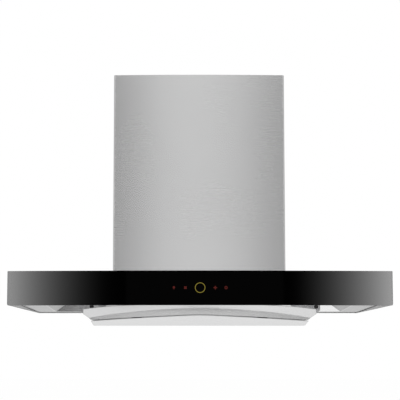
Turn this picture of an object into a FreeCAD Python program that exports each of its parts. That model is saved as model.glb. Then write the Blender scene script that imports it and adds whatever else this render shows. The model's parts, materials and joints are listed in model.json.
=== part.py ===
"""Curved glass range hood, wall hung, with its blower in the chimney.

X runs to the right, Y towards the wall and Z up, in millimetres. The origin is the middle of
the four wall bolts, on the wall. Heights in the sheet count from the hood's underside, which
is the lower edge of the glass; depths count from the front of the glass.
"""

import FreeCAD, Part
import math
import os
import re
import Sketcher

from FreeCAD import Placement, Rotation, Vector

SIZES = (
    ("hood_width", 892, "glass, end to end"),
    ("hood_depth", 500, "wall to the middle of the glass face"),
    ("front_radius", 5200, "plan curve of the glass and of the chimney front"),
    ("hang_height", 480, "underside up to the middle of the wall bolts"),
    ("sheet", 1.2, "steel sheet"),
    ("fit", 0.3, "gap between neighbours"),
    ("wall_gap", 2.4, "wall to the back of the shells"),
    ("glass_height", 79, "glass, lower edge to upper edge"),
    ("glass_thick", 6, "glass pane"),
    ("glass_corner", 3, "radius of the lower corners of the glass"),
    ("frame_depth", 10, "black frame behind the glass"),
    ("frame_inset", 3, "glass edge to frame edge"),
    ("frame_web", 2, "web that is bonded to the glass"),
    ("frame_border", 6, "border round the hollow of the frame"),
    ("board_rest", 2, "edge of the touch board that rests on the web"),
    ("board_width", 150, "touch board, along the hood"),
    ("board_height", 34, "touch board, upright"),
    ("board_thick", 1.6, "touch board"),
    ("board_level", 39.5, "middle of the keys above the underside"),
    ("guide_gap", 0.6, "glass to the outermost light guide"),
    ("ring_radius", 12.6, "ring round the power key"),
    ("ring_line", 2, "width of the ring"),
    ("icon_size", 7, "light window of a small key"),
    ("icon_pitch_inner", 34.5, "power key to the nearest small key"),
    ("icon_pitch_outer", 60.5, "power key to the outer small key"),
    ("canopy_inset", 2, "glass edge to canopy side"),
    ("canopy_height", 75, "underside to the canopy top"),
    ("hem", 5, "folded lower edge of the skirts"),
    ("skirt_fall", 3.3, "fall of the skirts' lower edge from the glass to the wall"),
    ("pan_recess", 9.5, "underside to the front margin of the pan"),
    ("pan_fall", 10.4, "fall of the pan from its front margin to its rear margin"),
    ("pan_depth", 50.5, "front margin to the roof of the cavity"),
    ("mouth_margin", 58, "glass end to the side edge of the cavity mouth"),
    ("mouth_setback", 56, "glass face to the front edge of the cavity mouth"),
    ("mouth_rear", 66, "wall to the rear edge of the cavity mouth"),
    ("plateau_half", 295, "middle to the side edge of the plateau"),
    ("plateau_front", 345, "wall to the front edge of the plateau"),
    ("plateau_rear", 118, "wall to the rear edge of the plateau"),
    ("inlet_half", 190, "middle to the side edge of the inlet"),
    ("inlet_front", 310, "wall to the front edge of the inlet"),
    ("inlet_rear", 150, "wall to the rear edge of the inlet"),
    ("inlet_ledge", 8, "ledge that the filter rises against"),
    ("filter_thick", 9, "grease filter"),
    ("filter_rim", 12, "rim of the grease filter"),
    ("baffle_count", 13, "bars across the filter"),
    ("baffle_width", 14, "bar of the filter"),
    ("baffle_thick", 2.8, "bar of the filter, upright"),
    ("handle_half", 30, "half of the filter handle"),
    ("handle_drop", 16, "filter handle below the filter"),
    ("handle_wire", 2.5, "radius of the filter handle"),
    ("clip_width", 16, "filter clip"),
    ("clip_reach", 14, "filter clip under the filter"),
    ("tray_setback", 100, "glass face to the front lip of the deflector tray"),
    ("tray_rear", 140, "wall to the rear lip of the deflector tray"),
    ("rim_reach", 10, "rim of the tray outside its lip"),
    ("rim_crown", 4.1, "height of the rim at the middle"),
    ("rim_drop", 13.6, "fall of the rim to the ends"),
    ("lip_top_crown", -4, "height of the lip's upper bend at the middle"),
    ("lip_top_drop", 23.3, "fall of that bend to the ends"),
    ("lip_foot_crown", -18.8, "height of the lip's lower edge at the middle"),
    ("lip_foot_drop", 13.3, "fall of that edge to the ends"),
    ("flank_top_half", 295, "middle to the top of the sloping tray end"),
    ("flank_lean", 36, "foot of the tray end inside its top"),
    ("flank_foot", -32, "height of the foot of the tray end"),
    ("flank_top", -6, "height of the top of the tray end"),
    ("rim_corner_inset", 18, "tray corner, across"),
    ("rim_corner_run", 105, "tray corner, front to back"),
    ("panel_lap", 1, "deflector panel beyond the foot of the tray end"),
    ("panel_gap", 1.8, "deflector panel to the tray"),
    ("panel_rear", 158, "wall to the rear edge of the deflector panel"),
    ("keel_drop", -44, "height of the panel's lowest face"),
    ("keel_front", 335, "wall to the front of the lowest face"),
    ("keel_rear", 290, "wall to the rear of the lowest face"),
    ("hinge_back", 150, "wall to the hinge axis"),
    ("hinge_level", -30, "height of the hinge axis"),
    ("hinge_inset", 59, "hinge inside the foot of the tray end"),
    ("hinge_pin", 2, "radius of a hinge pin"),
    ("hinge_eye", 5, "radius of a hinge eye"),
    ("hinge_plate", 3, "hinge ear and knuckle"),
    ("running_gap", 0.05, "radial clearance of a turning fit"),
    ("catch_half", 150, "middle to a magnet catch"),
    ("catch_width", 24, "magnet catch"),
    ("catch_depth", 9, "magnet catch, front to back"),
    ("catch_height", 8, "magnet"),
    ("strap_lap", 15, "strap inside the foot of the tray end"),
    ("strap_inset", 5, "strap inside the top of the tray end"),
    ("strap_inboard", 12, "strap behind the tray's lip"),
    ("strap_low", -20, "height of a strap's inner lower edge"),
    ("strap_thick", 1.5, "strap that carries the tray"),
    ("strap_foot", 18, "folded head of the strap"),
    ("knob_left", 36, "left thumb screw inside the top of the tray end"),
    ("knob_right", 15, "right thumb screw inside the top of the tray end"),
    ("knob_radius", 6, "thumb screw head"),
    ("knob_length", 6, "thumb screw head, front to back"),
    ("knob_ring", 1, "steel ring round the thumb screw head"),
    ("lamp_half", 195, "middle to the middle of a lamp"),
    ("lamp_width", 150, "lamp"),
    ("lamp_setback", 30, "glass face to the front of the lamps"),
    ("lamp_depth", 20, "lamp, front to back"),
    ("lamp_height", 14, "lamp housing above the pan"),
    ("lens_flange", 1.5, "lens edge that covers the cut-out"),
    ("lens_thick", 3, "lamp lens"),
    ("lens_lip", 1, "lens edge below the pan"),
    ("cup_half", 91, "half the length of the oil cup"),
    ("cup_front", 60, "wall to the front of the oil cup"),
    ("cup_rear", 14, "wall to the back of the oil cup"),
    ("cup_gap", 4.5, "rear margin of the pan to the rim of the oil cup"),
    ("cup_drop", 28, "depth of the oil cup"),
    ("cup_wall", 1.5, "oil cup wall"),
    ("cup_flange", 6, "carrying flange of the oil cup"),
    ("drain_radius", 5, "drain hole over the oil cup"),
    ("chimney_half", 215, "half the width of the chimney"),
    ("chimney_front", 320, "wall to the middle of the chimney front"),
    ("chimney_top", 588, "underside to the top of the chimney"),
    ("chimney_bend", 5, "outer radius of the chimney's folds"),
    ("chimney_return", 15, "flange at the back of the chimney cover"),
    ("top_sink", 2, "chimney edge above the top plate"),
    ("bracket_half", 160, "half the length of the wall bracket"),
    ("bracket_height", 56, "wall bracket"),
    ("bracket_thick", 2, "wall bracket"),
    ("bolt_span_x", 280, "wall bolts, across"),
    ("bolt_span_z", 30, "wall bolts, upright"),
    ("bolt_hole", 4.25, "radius of a wall bolt hole"),
    ("hook_half", 100, "middle to a hook"),
    ("hook_width", 30, "hook"),
    ("hook_rise", 12, "hook behind the back plate"),
    ("fan_left", 58, "middle to the fan axis"),
    ("fan_level", 292, "underside to the fan axis"),
    ("scroll_front", 236, "wall to the front plate of the scroll"),
    ("scroll_rear", 96, "wall to the back plate of the scroll"),
    ("scroll_start", 128, "scroll radius at its tongue"),
    ("scroll_end", 190, "scroll radius at its outlet"),
    ("scroll_tongue", 65, "angle of the tongue, degrees"),
    ("scroll_throat", 490, "underside to the top of the scroll outlet"),
    ("eye_radius", 96, "inlet eye of the scroll"),
    ("eye_flare", 9, "bell mouth of the inlet eye"),
    ("post_reach", 85, "fan axis to a post, across and upright"),
    ("post_radius", 5, "post between scroll and back plate"),
    ("wheel_radius", 118, "impeller"),
    ("wheel_gap", 7, "impeller to the scroll plates"),
    ("wheel_rim", 18, "depth of the blades, outer to inner radius"),
    ("blade_count", 36, "impeller blades"),
    ("blade_thick", 1.2, "impeller blade"),
    ("blade_lean", 32, "forward curve of a blade, degrees"),
    ("wheel_plate", 2, "impeller back plate and front ring"),
    ("hub_radius", 22, "impeller hub"),
    ("hub_length", 34, "impeller hub"),
    ("shaft_radius", 6, "motor shaft"),
    ("motor_radius", 52, "motor housing"),
    ("motor_rear", 22, "wall to the back of the motor"),
    ("motor_wall", 3, "motor housing wall"),
    ("motor_lug", 14, "lug beyond the motor housing"),
    ("bearing_radius", 13, "motor bearing"),
    ("bearing_width", 8, "motor bearing"),
    ("rotor_radius", 27, "motor rotor"),
    ("air_gap", 0.6, "rotor to stator"),
    ("core_gap", 4, "bearing to rotor and stator"),
    ("collar_radius", 87.5, "outside of the duct collar"),
    ("collar_height", 28, "duct collar above its flange"),
    ("collar_flange", 14, "flange beyond the collar"),
    ("collar_wall", 2, "duct collar wall"),
    ("collar_back", 112, "wall to the middle of the duct collar"),
    ("gasket", 2, "gasket under the collar"),
    ("seat_width", 4, "ledge that the flaps close on"),
    ("flap_level", 12, "flap pin above the collar flange"),
    ("flap_gap", 1, "flap edge to the collar"),
    ("flap_pin", 1.5, "radius of the flap pin"),
    ("flap_eye", 3, "radius of a flap eye"),
    ("flap_eye_length", 10, "flap eye"),
    ("screw_radius", 2, "screw shank"),
    ("screw_head", 4, "screw head radius"),
    ("screw_head_rise", 2, "screw head"),
    ("screw_reach", 6, "screw shank below its head"),
    ("box_width", 62, "power box, across"),
    ("box_depth", 42, "power box, front to back"),
    ("box_height", 130, "power box"),
    ("box_level", 110, "underside to the foot of the power box"),
    ("box_gap", 4, "power box to the chimney's flange"),
    ("box_wall", 2, "power box wall"),
    ("capacitor_radius", 17, "motor capacitor"),
    ("capacitor_length", 62, "motor capacitor"),
    ("gland_left", 165, "middle to the cable gland"),
    ("gland_back", 45, "wall to the cable gland"),
    ("gland_radius", 9, "cable gland body"),
    ("gland_bore", 4, "cable gland bore"),
    ("gland_rise", 12, "cable gland above the top plate"),
    ("nut_height", 4, "nut under the top plate"),
)

doc = FreeCAD.newDocument("RangeHood")
size = doc.addObject("Spreadsheet::Sheet", "Size")
for row, (alias, value, note) in enumerate(SIZES, 1):
    size.set("A%d" % row, note)
    size.set("B%d" % row, str(value))
    size.setAlias("B%d" % row, alias)
doc.recompute()

WORD = re.compile(r"[a-z][a-z_]*")
NAMES = {alias for alias, value, note in SIZES}
NODES = []


# ---------------------------------------------------------------- values and formulas


def mm(alias):
    """The number in the sheet under this name."""
    return float(size.get(alias))


def formula(text):
    """A formula in the names of the sheet, as the document writes it."""
    return WORD.sub(lambda m: "Size." + m.group() if m.group() in NAMES else m.group(), text)


def bind(thing, **formulas):
    """Ties properties to formulas; a double underscore stands for a point."""
    for name, text in formulas.items():
        thing.setExpression(name.replace("__", "."), formula(text))
    return thing


def up(text):
    """A height above the underside, as a Z."""
    return "(%s - hang_height)" % text


def neg(text):
    return "-(%s)" % text


def both(text):
    """The limits of something centred on the hood."""
    return neg(text), "(%s)" % text


def across(middle, width):
    """The limits of something of this width round its middle."""
    return "%s - (%s) / 2" % (middle, width), "%s + (%s) / 2" % (middle, width)


def set_back(x):
    """How far the curved front stands back at a distance from the middle."""
    return "((%s)^2 / (2 * front_radius))" % x


def node(thing, label):
    """Marks a finished piece."""
    thing.Label = label
    NODES.append(thing)
    return thing


# ---------------------------------------------------------------- solids


def placed(thing, start):
    """Ties the base point of a primitive to three formulas."""
    x, y, z = start
    return bind(thing, Placement__Base__x=x, Placement__Base__y=y, Placement__Base__z=z)


def block(x, y, z):
    """A box between two limits on each axis."""
    box = doc.addObject("Part::Box", "Block")
    spans = ["(%s) - (%s)" % (high, low) for low, high in (x, y, z)]
    bind(box, Length=spans[0], Width=spans[1], Height=spans[2])
    return placed(box, (x[0], y[0], z[0]))


TURNS = {
    "x": Rotation(Vector(0, 1, 0), 90),
    "y": Rotation(Vector(1, 0, 0), -90),
    "z": Rotation(),
}


def rod(axis, start, radius, length):
    """A round bar from its start point along an axis."""
    bar = doc.addObject("Part::Cylinder", "Rod")
    bar.Placement = Placement(Vector(), TURNS[axis])
    bind(bar, Radius=radius, Height=length)
    return placed(bar, start)


def tube(axis, start, outer, inner, length):
    """A round pipe from its start point along an axis."""
    return cut(rod(axis, start, outer, length), rod(axis, start, inner, length))


def fuse(*parts):
    joined = doc.addObject("Part::MultiFuse", "Joined")
    joined.Shapes = list(parts)
    return joined


def group(*parts):
    """Separate solids in one piece of the model, such as a set of screws."""
    kept = doc.addObject("Part::Compound", "Group")
    kept.Links = list(parts)
    return kept


def cut(base, *tools):
    rest = doc.addObject("Part::Cut", "Rest")
    rest.Base = base
    rest.Tool = tools[0] if len(tools) == 1 else fuse(*tools)
    return rest


def common(first, second):
    shared = doc.addObject("Part::MultiCommon", "Shared")
    shared.Shapes = [first, second]
    return shared


def made(shape):
    """A form that no primitive holds, from Part's own functions."""
    thing = doc.addObject("Part::Feature", "Form")
    thing.Shape = shape
    return thing


def behind_front(depth):
    """All that lies behind the curved front, at a depth behind the glass face."""
    drum = doc.addObject("Part::Cylinder", "FrontCurve")
    bind(drum, Radius="front_radius - (%s)" % depth, Height="hang_height * 2")
    return placed(drum, ("0", "front_radius - hood_depth", "-hang_height * 1.5"))


def slanted(bottom_x, bottom_y, top_x, top_y, z):
    """A block with sloping sides, from its lower outline to its upper one."""
    wedge = doc.addObject("Part::Wedge", "Slanted")
    wedge.Placement = Placement(Vector(), Rotation(Vector(1, 0, 0), 90))
    bind(wedge, Xmin=bottom_x[0], Xmax=bottom_x[1], X2min=top_x[0], X2max=top_x[1])
    bind(wedge, Zmin=neg(bottom_y[1]), Zmax=neg(bottom_y[0]), Z2min=neg(top_y[1]), Z2max=neg(top_y[0]))
    return bind(wedge, Ymin=z[0], Ymax=z[1])


# ---------------------------------------------------------------- sketched pieces

PLANES = {"front": "XZ_Plane", "top": "XY_Plane", "side": "YZ_Plane"}
ROUGH_SIZE = 100


def sketched(view, start, length, outline, holes=()):
    """A body padded from one sketch: an outline of corners, and round holes.

    Seen from the front a pad runs from its start towards the viewer, from the top upwards,
    and from the side to the right.
    """
    body = doc.addObject("PartDesign::Body", "Body")
    sketch = body.newObject("Sketcher::SketchObject", "Sketch")
    plane = next(f for f in body.Origin.OriginFeatures if f.Role == PLANES[view])
    sketch.AttachmentSupport = [(plane, "")]
    sketch.MapMode = "FlatFace"
    bind(sketch, AttachmentOffset__Base__z=start)
    draw_outline(sketch, outline)
    for x, y, radius in holes:
        draw_hole(sketch, x, y, radius)
    pad = body.newObject("PartDesign::Pad", "Pad")
    pad.Profile = sketch
    bind(pad, Length=length)
    body.Tip = pad
    return body


def pin_point(sketch, line, end, point):
    """Ties one point of a sketch to two formulas, from the sketch's origin."""
    for kind, text in zip(("DistanceX", "DistanceY"), point):
        made_here = sketch.addConstraint(Sketcher.Constraint(kind, -1, 1, line, end, 1.0))
        sketch.setExpression("Constraints[%d]" % made_here, formula(text))


def draw_outline(sketch, points):
    """Draws a rough ring of lines and pulls its corners to their places."""
    count = len(points)
    start = sketch.GeometryCount
    turns = [math.tau * i / count for i in range(count)]
    ring = [Vector(math.cos(turn), math.sin(turn), 0) * ROUGH_SIZE for turn in turns]
    for i in range(count):
        sketch.addGeometry(Part.LineSegment(ring[i], ring[(i + 1) % count]), False)
    for i in range(count):
        sketch.addConstraint(Sketcher.Constraint("Coincident", start + i, 2, start + (i + 1) % count, 1))
    for i, point in enumerate(points):
        pin_point(sketch, start + i, 1, point)


def draw_hole(sketch, x, y, radius):
    hole = sketch.addGeometry(Part.Circle(Vector(1, 1, 0), Vector(0, 0, 1), 2), False)
    pin_point(sketch, hole, 3, (x, y))
    made_here = sketch.addConstraint(Sketcher.Constraint("Radius", hole, 2.0))
    sketch.setExpression("Constraints[%d]" % made_here, formula(radius))


def rectangle(x, y):
    """The corners of an outline between two limits on each axis."""
    return [(x[0], y[0]), (x[1], y[0]), (x[1], y[1]), (x[0], y[1])]


# ---------------------------------------------------------------- glass front and its keys

GLASS_HALF = "hood_width / 2"
FRAME_BACK = "glass_thick + frame_depth"
KEY_LEVEL = up("board_level")
GUIDE_FRONT = "(-hood_depth + glass_thick + guide_gap + %s)" % set_back("icon_pitch_outer + icon_size / 2")
BOARD_FRONT = "(-hood_depth + glass_thick + frame_web + %s)" % set_back("board_width / 2")


def curved_slab(half, z, outer, inner):
    """A slab that follows the front curve between two depths."""
    stock = block(both(half), ("-hood_depth - 1", "-chimney_front"), z)
    return cut(common(stock, behind_front(outer)), behind_front(inner))


def lower_corner(side):
    """What the rounding takes off one lower corner of the glass."""
    edge = "%d * (%s + 1)" % (side, GLASS_HALF)
    middle = "%d * (%s - glass_corner)" % (side, GLASS_HALF)
    x = (edge, middle) if side < 0 else (middle, edge)
    corner = block(x, ("-hood_depth", "-chimney_front"), (up("-1"), up("glass_corner")))
    centre = (middle, "-hood_depth", up("glass_corner"))
    return cut(corner, rod("y", centre, "glass_corner", "hood_depth - chimney_front"))


def make_glass():
    pane = curved_slab(GLASS_HALF, (up("0"), up("glass_height")), "0", "glass_thick")
    node(cut(pane, lower_corner(-1), lower_corner(1)), "glass_front")


def make_glass_frame(screws):
    half = "(%s - frame_inset)" % GLASS_HALF
    z = (up("frame_inset"), up("(glass_height - frame_inset)"))
    bar = curved_slab(half, z, "glass_thick", FRAME_BACK)
    inner = ("%s + frame_border" % z[0], "%s - frame_border" % z[1])
    inner_half = "(%s - frame_border)" % half
    hollow = curved_slab(inner_half, inner, "glass_thick + frame_web", "%s + 1" % FRAME_BACK)
    window_z = across(KEY_LEVEL, "board_height - 2 * board_rest")
    window = block(both("board_width / 2 - board_rest"), ("-hood_depth", BOARD_FRONT), window_z)
    y = ("-hood_depth", "-chimney_front")
    lugs = [block(across(x, "2 * screw_head"), y, inner) for x in SCREW_PLACES]
    lugs = common(fuse(*lugs), bar)
    node(cut(fuse(cut(bar, hollow, window), lugs), screws), "glass_frame")


SCREW_PLACES = ["%s * (%s)" % (share, GLASS_HALF) for share in (-0.88, -0.45, 0.45, 0.88)]


def frame_screw(place, radius):
    """A shank through the front rail into the frame, with its head inside the canopy."""
    start = "-hood_depth + glass_thick + 2 * frame_web + %s" % set_back(place)
    length = "(frame_depth - 2 * frame_web + sheet + fit)"
    return rod("y", (place, start, up("canopy_height / 2")), radius, length)


def frame_screws():
    """The screws that hold the glass and its frame on the front rail."""
    screws = []
    for place in SCREW_PLACES:
        y = "-hood_depth + %s + sheet + fit + %s" % (FRAME_BACK, set_back(place))
        head = rod("y", (place, y, up("canopy_height / 2")), "screw_head", "screw_head_rise")
        screws.append(fuse(frame_screw(place, "screw_radius"), head))
    return screws


def make_keys():
    """Light guides and touch board behind the glass; the glass itself has no opening."""
    length = "%s - %s" % (BOARD_FRONT, GUIDE_FRONT)
    guides = [tube("y", ("0", GUIDE_FRONT, KEY_LEVEL), "ring_radius", "ring_radius - ring_line", length)]
    for pitch in both("icon_pitch_outer") + both("icon_pitch_inner"):
        x, z = across(pitch, "icon_size"), across(KEY_LEVEL, "icon_size")
        guides.append(block(x, (GUIDE_FRONT, BOARD_FRONT), z))
    node(group(*guides), "key_light_guides")
    x, z = both("board_width / 2"), across(KEY_LEVEL, "board_height")
    start = neg("%s + board_thick" % BOARD_FRONT)
    node(sketched("front", start, "board_thick", rectangle(x, z)), "touch_board")


# ---------------------------------------------------------------- canopy

CANOPY_HALF = "(hood_width / 2 - canopy_inset)"
CANOPY_UNDER = "(canopy_height - sheet)"
INLET_Y = ("-inlet_front", "-inlet_rear")
CAVITY_TOP = "(pan_recess + pan_depth)"
PAN_LOW = "(pan_recess - pan_fall)"
FULL_DEPTH = "(pan_recess + pan_depth - %s)" % PAN_LOW
MOUTH_HALF = "(hood_width / 2 - mouth_margin)"
MOUTH_FRONT = "(hood_depth - mouth_setback)"
FRONT_SPREAD = "((%s - plateau_front) * %s / pan_depth)" % (MOUTH_FRONT, FULL_DEPTH)
MOUTH_Y = (neg("plateau_front + %s" % FRONT_SPREAD), "-mouth_rear")
PLATEAU_Y = ("-plateau_front", "-plateau_rear")
CAVITY = (both(MOUTH_HALF), MOUTH_Y, both("plateau_half"), PLATEAU_Y)
INSIDE_BACK = "-(wall_gap + sheet)"


def make_canopy(screws):
    """Top, two side skirts with a folded lower edge, a curved front rail and a rear rail."""
    top_z = (up(CANOPY_UNDER), up("canopy_height"))
    stock = block(both(CANOPY_HALF), ("-hood_depth", "-wall_gap"), top_z)
    mouth_y = ("-inlet_front + inlet_ledge", "-inlet_rear - inlet_ledge")
    mouth = block(both("inlet_half - inlet_ledge"), mouth_y, (up("0"), up("(canopy_height + 1)")))
    node(cut(common(stock, behind_front(FRAME_BACK)), mouth), "canopy_top")
    for name, side in (("left_skirt", -1), ("right_skirt", 1)):
        node(common(skirt(side), behind_front(FRAME_BACK)), name)
    rail_half = "(%s - sheet)" % CANOPY_HALF
    rail_z = (up("sheet"), up(CANOPY_UNDER))
    rail = curved_slab(rail_half, rail_z, FRAME_BACK, "%s + sheet" % FRAME_BACK)
    node(cut(rail, screws), "front_rail")
    half, low = "(%s - sheet - fit)" % CANOPY_HALF, up("(-skirt_fall)")
    wall = block(both(half), (INSIDE_BACK, "-wall_gap"), (low, up(CANOPY_UNDER)))
    half = "(%s - hem - fit)" % CANOPY_HALF
    hem = block(both(half), ("-wall_gap - hem", "-wall_gap"), (low, low + " + sheet"))
    node(fuse(wall, hem), "rear_rail")


def skirt(side):
    """A side sheet whose lower edge falls to the rear, with its folded hem."""
    wall = falling(side_span(side, "sheet"), "-wall_gap", (CANOPY_UNDER, CANOPY_UNDER))
    hem_back = INSIDE_BACK + " - fit"
    hem_tops = ("sheet", "(sheet - %s)" % fall_at(hem_back))
    return fuse(wall, falling(side_span(side, "hem"), hem_back, hem_tops))


def side_span(side, reach):
    """The limits of a strip along one side of the canopy."""
    outer, inner = "%d * %s" % (side, CANOPY_HALF), "%d * (%s - %s)" % (side, CANOPY_HALF, reach)
    return (inner, outer) if side > 0 else (outer, inner)


def fall_at(y):
    """How far the skirts' lower edge has fallen at a distance from the wall."""
    return "(skirt_fall * (1 + (%s) / hood_depth))" % y


def falling(x, back, tops):
    """A strip over the falling lower edge, with the heights of its front and rear top."""
    lows = ("0", neg(fall_at(back)))
    outline = [(y, up(z)) for y, z in zip(("-hood_depth", back), lows)]
    outline += [(y, up(z)) for y, z in zip((back, "-hood_depth"), tops[::-1])]
    return sketched("side", x[0], "(%s) - (%s)" % (x[1], x[0]), outline)


def make_pan():
    """The smoke cavity: a margin that falls to the rear, four sloping walls and a roof."""
    half = "(%s - sheet - fit)" % CANOPY_HALF
    profile = pan_line("0") + pan_line("sheet")[::-1]
    margin = sketched("side", neg(half), "2 * %s" % half, profile)
    margin = common(margin, behind_front("%s + sheet + fit" % FRAME_BACK))
    drain_y = "-(cup_front + cup_rear) / 2"
    drain = rod("z", ("0", drain_y, up("-hang_height")), "drain_radius", "2 * hang_height")
    lamps = [lamp_block(side, "0", (up("0"), up("canopy_height"))) for side in (-1, 1)]
    space = slanted(*(outside(limits) for limits in CAVITY), (up(PAN_LOW), up(CAVITY_TOP)))
    node(cut(margin, space, drain, *lamps), "cavity_pan")
    below = [("-hood_depth", up("-canopy_height")), ("0", up("-canopy_height"))]
    below = sketched("side", neg(half), "2 * %s" % half, pan_line("0") + below[::-1])
    node(group(*[cut(wall, below) for wall in cavity_walls()]), "cavity_walls")
    roof_z = (up(CAVITY_TOP), up("(%s + sheet)" % CAVITY_TOP))
    roof = block(both("plateau_half + sheet"), outside(PLATEAU_Y), roof_z)
    inlet = block(both("inlet_half"), INLET_Y, (up("0"), up("canopy_height")))
    node(cut(roof, inlet), "cavity_roof")
    collar_z = (roof_z[1], up(CANOPY_UNDER))
    ring = block(both("inlet_half + sheet"), outside(INLET_Y), collar_z)
    node(cut(ring, block(both("inlet_half"), INLET_Y, collar_z)), "inlet_collar")


def pan_line(rise):
    """The pan's lower face seen from the side, from front to rear, or a line above it."""
    levels = (
        ("-hood_depth", "pan_recess"),
        ("-%s" % MOUTH_FRONT, "pan_recess"),
        ("-mouth_rear", PAN_LOW),
        (INSIDE_BACK + " - fit", PAN_LOW),
    )
    return [(y, up("(%s + %s)" % (level, rise))) for y, level in levels]


def outside(limits):
    """Limits that are wider by the sheet at both ends."""
    return "%s - sheet" % limits[0], "%s + sheet" % limits[1]


def cavity_walls():
    """The front and rear walls over the whole width, and the two side walls between them."""
    z = (up(PAN_LOW), up(CAVITY_TOP))
    low_x, low_y, high_x, high_y = (outside(limits) for limits in CAVITY)
    walls = [
        slanted(low_x, (low_y[0], MOUTH_Y[0]), high_x, (high_y[0], PLATEAU_Y[0]), z),
        slanted(low_x, (MOUTH_Y[1], low_y[1]), high_x, (PLATEAU_Y[1], high_y[1]), z),
    ]
    for side in (-1, 1):
        side_low, side_high = sheet_at(side, MOUTH_HALF), sheet_at(side, "plateau_half")
        walls.append(slanted(side_low, MOUTH_Y, side_high, PLATEAU_Y, z))
    return walls


def sheet_at(side, half):
    """The limits of an upright sheet outside a distance from the middle."""
    near, far = "%d * (%s)" % (side, half), "%d * (%s + sheet)" % (side, half)
    return (near, far) if side > 0 else (far, near)


# ---------------------------------------------------------------- lamps


def lamp_block(side, growth, z):
    """The outline of one lamp, larger all round by the growth."""
    middle = "%d * lamp_half" % side
    x = across(middle, "lamp_width + 2 * %s" % growth)
    front = "(lamp_setback - hood_depth)"
    y = ("%s - %s" % (front, growth), "%s + lamp_depth + %s" % (front, growth))
    return block(x, y, z)


def make_lamps():
    """Two lamps in the front margin: a lens from below, housing and board above."""
    seat = "(pan_recess + sheet)"
    board_top = "(%s + lamp_height - sheet)" % seat
    lenses, housings, boards = [], [], []
    for side in (-1, 1):
        flange = lamp_block(side, "lens_flange", (up("(pan_recess - lens_lip)"), up("pan_recess")))
        plug = lamp_block(side, "(-fit)", (up("pan_recess"), up("(pan_recess - lens_lip + lens_thick)")))
        lenses.append(fuse(flange, plug))
        shell = lamp_block(side, "lens_flange", (up(seat), up("(%s + lamp_height)" % seat)))
        inside = lamp_block(side, "0", (up(seat), up(board_top)))
        housings.append(cut(shell, inside))
        board_z = (up("(%s - board_thick)" % board_top), up(board_top))
        boards.append(lamp_block(side, "(-fit)", board_z))
    node(group(*lenses), "lamp_lenses")
    node(group(*housings), "lamp_housings")
    node(group(*boards), "led_boards")


# ---------------------------------------------------------------- grease filter


def make_filter():
    """A baffle filter that rises into the inlet, its handle and the clips that hold it."""
    foot = "(pan_recess + pan_depth + sheet)"
    z = (up(foot), up("(%s + filter_thick)" % foot))
    outer_y = ("-inlet_front + fit", "-inlet_rear - fit")
    inner_y = ("-inlet_front + filter_rim", "-inlet_rear - filter_rim")
    ring = block(both("inlet_half - fit"), outer_y, z)
    node(cut(ring, block(both("inlet_half - filter_rim"), inner_y, z)), "filter_frame")
    count = int(mm("baffle_count"))
    run = "2 * (inlet_half - filter_rim)"
    pitch = "(%s - baffle_width) / %d" % (run, count - 1)
    bars = []
    for i in range(count):
        x = "-inlet_half + filter_rim + %d * %s" % (i, pitch)
        low = "%s + %s" % (foot, "sheet" if i % 2 else "filter_thick - sheet - baffle_thick")
        bar_z = (up("(%s)" % low), up("(%s + baffle_thick)" % low))
        bars.append(block((x, x + " + baffle_width"), inner_y, bar_z))
    node(group(*bars), "filter_baffles")
    node(filter_handle(foot), "filter_handle")
    clips = [filter_clip(side, foot) for side in (-1, 1)]
    node(group(*clips), "filter_clips")


def filter_handle(foot):
    """A bent wire below the front bar of the filter's frame."""
    y = "-inlet_front + filter_rim / 2"
    low = up("(%s - handle_drop)" % foot)
    posts = [rod("z", (x, y, low), "handle_wire", "handle_drop") for x in both("handle_half")]
    grip = rod("x", ("-handle_half", y, low), "handle_wire", "2 * handle_half")
    ends = [ball((x, y, low), "handle_wire") for x in both("handle_half")]
    return fuse(grip, *posts, *ends)


def ball(centre, radius):
    sphere = doc.addObject("Part::Sphere", "Ball")
    bind(sphere, Radius=radius)
    return placed(sphere, centre)


def filter_clip(side, foot):
    """A spring clip on the plateau that reaches under the filter."""
    rear = "(inlet_front + inlet_rear - clip_width) / 2"
    edge = "(inlet_half + clip_reach)"
    near = "(inlet_half - clip_reach / 2)"
    plateau = "(%s - sheet)" % foot
    pad = "(inlet_half - 2 * fit)"
    steps = (
        (edge, plateau),
        (edge, plateau + " - sheet"),
        (near, plateau + " - sheet"),
        (near, plateau + " + sheet"),
        (pad, plateau + " + sheet"),
        (pad, plateau),
    )
    outline = [("%d * %s" % (side, x), up("(%s)" % z)) for x, z in steps]
    return sketched("front", rear, "clip_width", outline)


# ---------------------------------------------------------------- deflector tray

LEAN = "(flank_lean / (flank_top - flank_foot))"
TRAY_FRONT = "(hood_depth - tray_setback)"
FOOT_HALF = "(flank_top_half - flank_lean)"
TRAY_STATIONS = [i / 6 for i in range(-6, 7)]
RIM_CURVE, BEND_CURVE, FOOT_CURVE = 3, 1.8, 1.25


def arch(crown, drop, share, power):
    """The height of an arched edge at a share of its half width."""
    return mm(crown) - mm(drop) * abs(share) ** power


def heights(share):
    """Rim, upper bend and foot of the lip at a share of the tray's half width."""
    rim = arch("rim_crown", "rim_drop", share, RIM_CURVE)
    bend = arch("lip_top_crown", "lip_top_drop", share, BEND_CURVE)
    return rim, bend, arch("lip_foot_crown", "lip_foot_drop", share, FOOT_CURVE)


def tray_front():
    """The wall to the front lip of the tray."""
    return mm("hood_depth") - mm("tray_setback")


def foot_half():
    """The middle to the foot of the tray end."""
    return mm("flank_top_half") - mm("flank_lean")


def on_flank(share, y, z):
    """A point of the section that leans with the tray's ends."""
    slope = mm("flank_lean") / (mm("flank_top") - mm("flank_foot"))
    half = foot_half() + (z - mm("flank_foot")) * slope
    return Vector(share * half, y, z - mm("hang_height"))


def panel_half():
    """Half the length of the deflector panel."""
    return foot_half() + mm("panel_lap")


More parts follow.
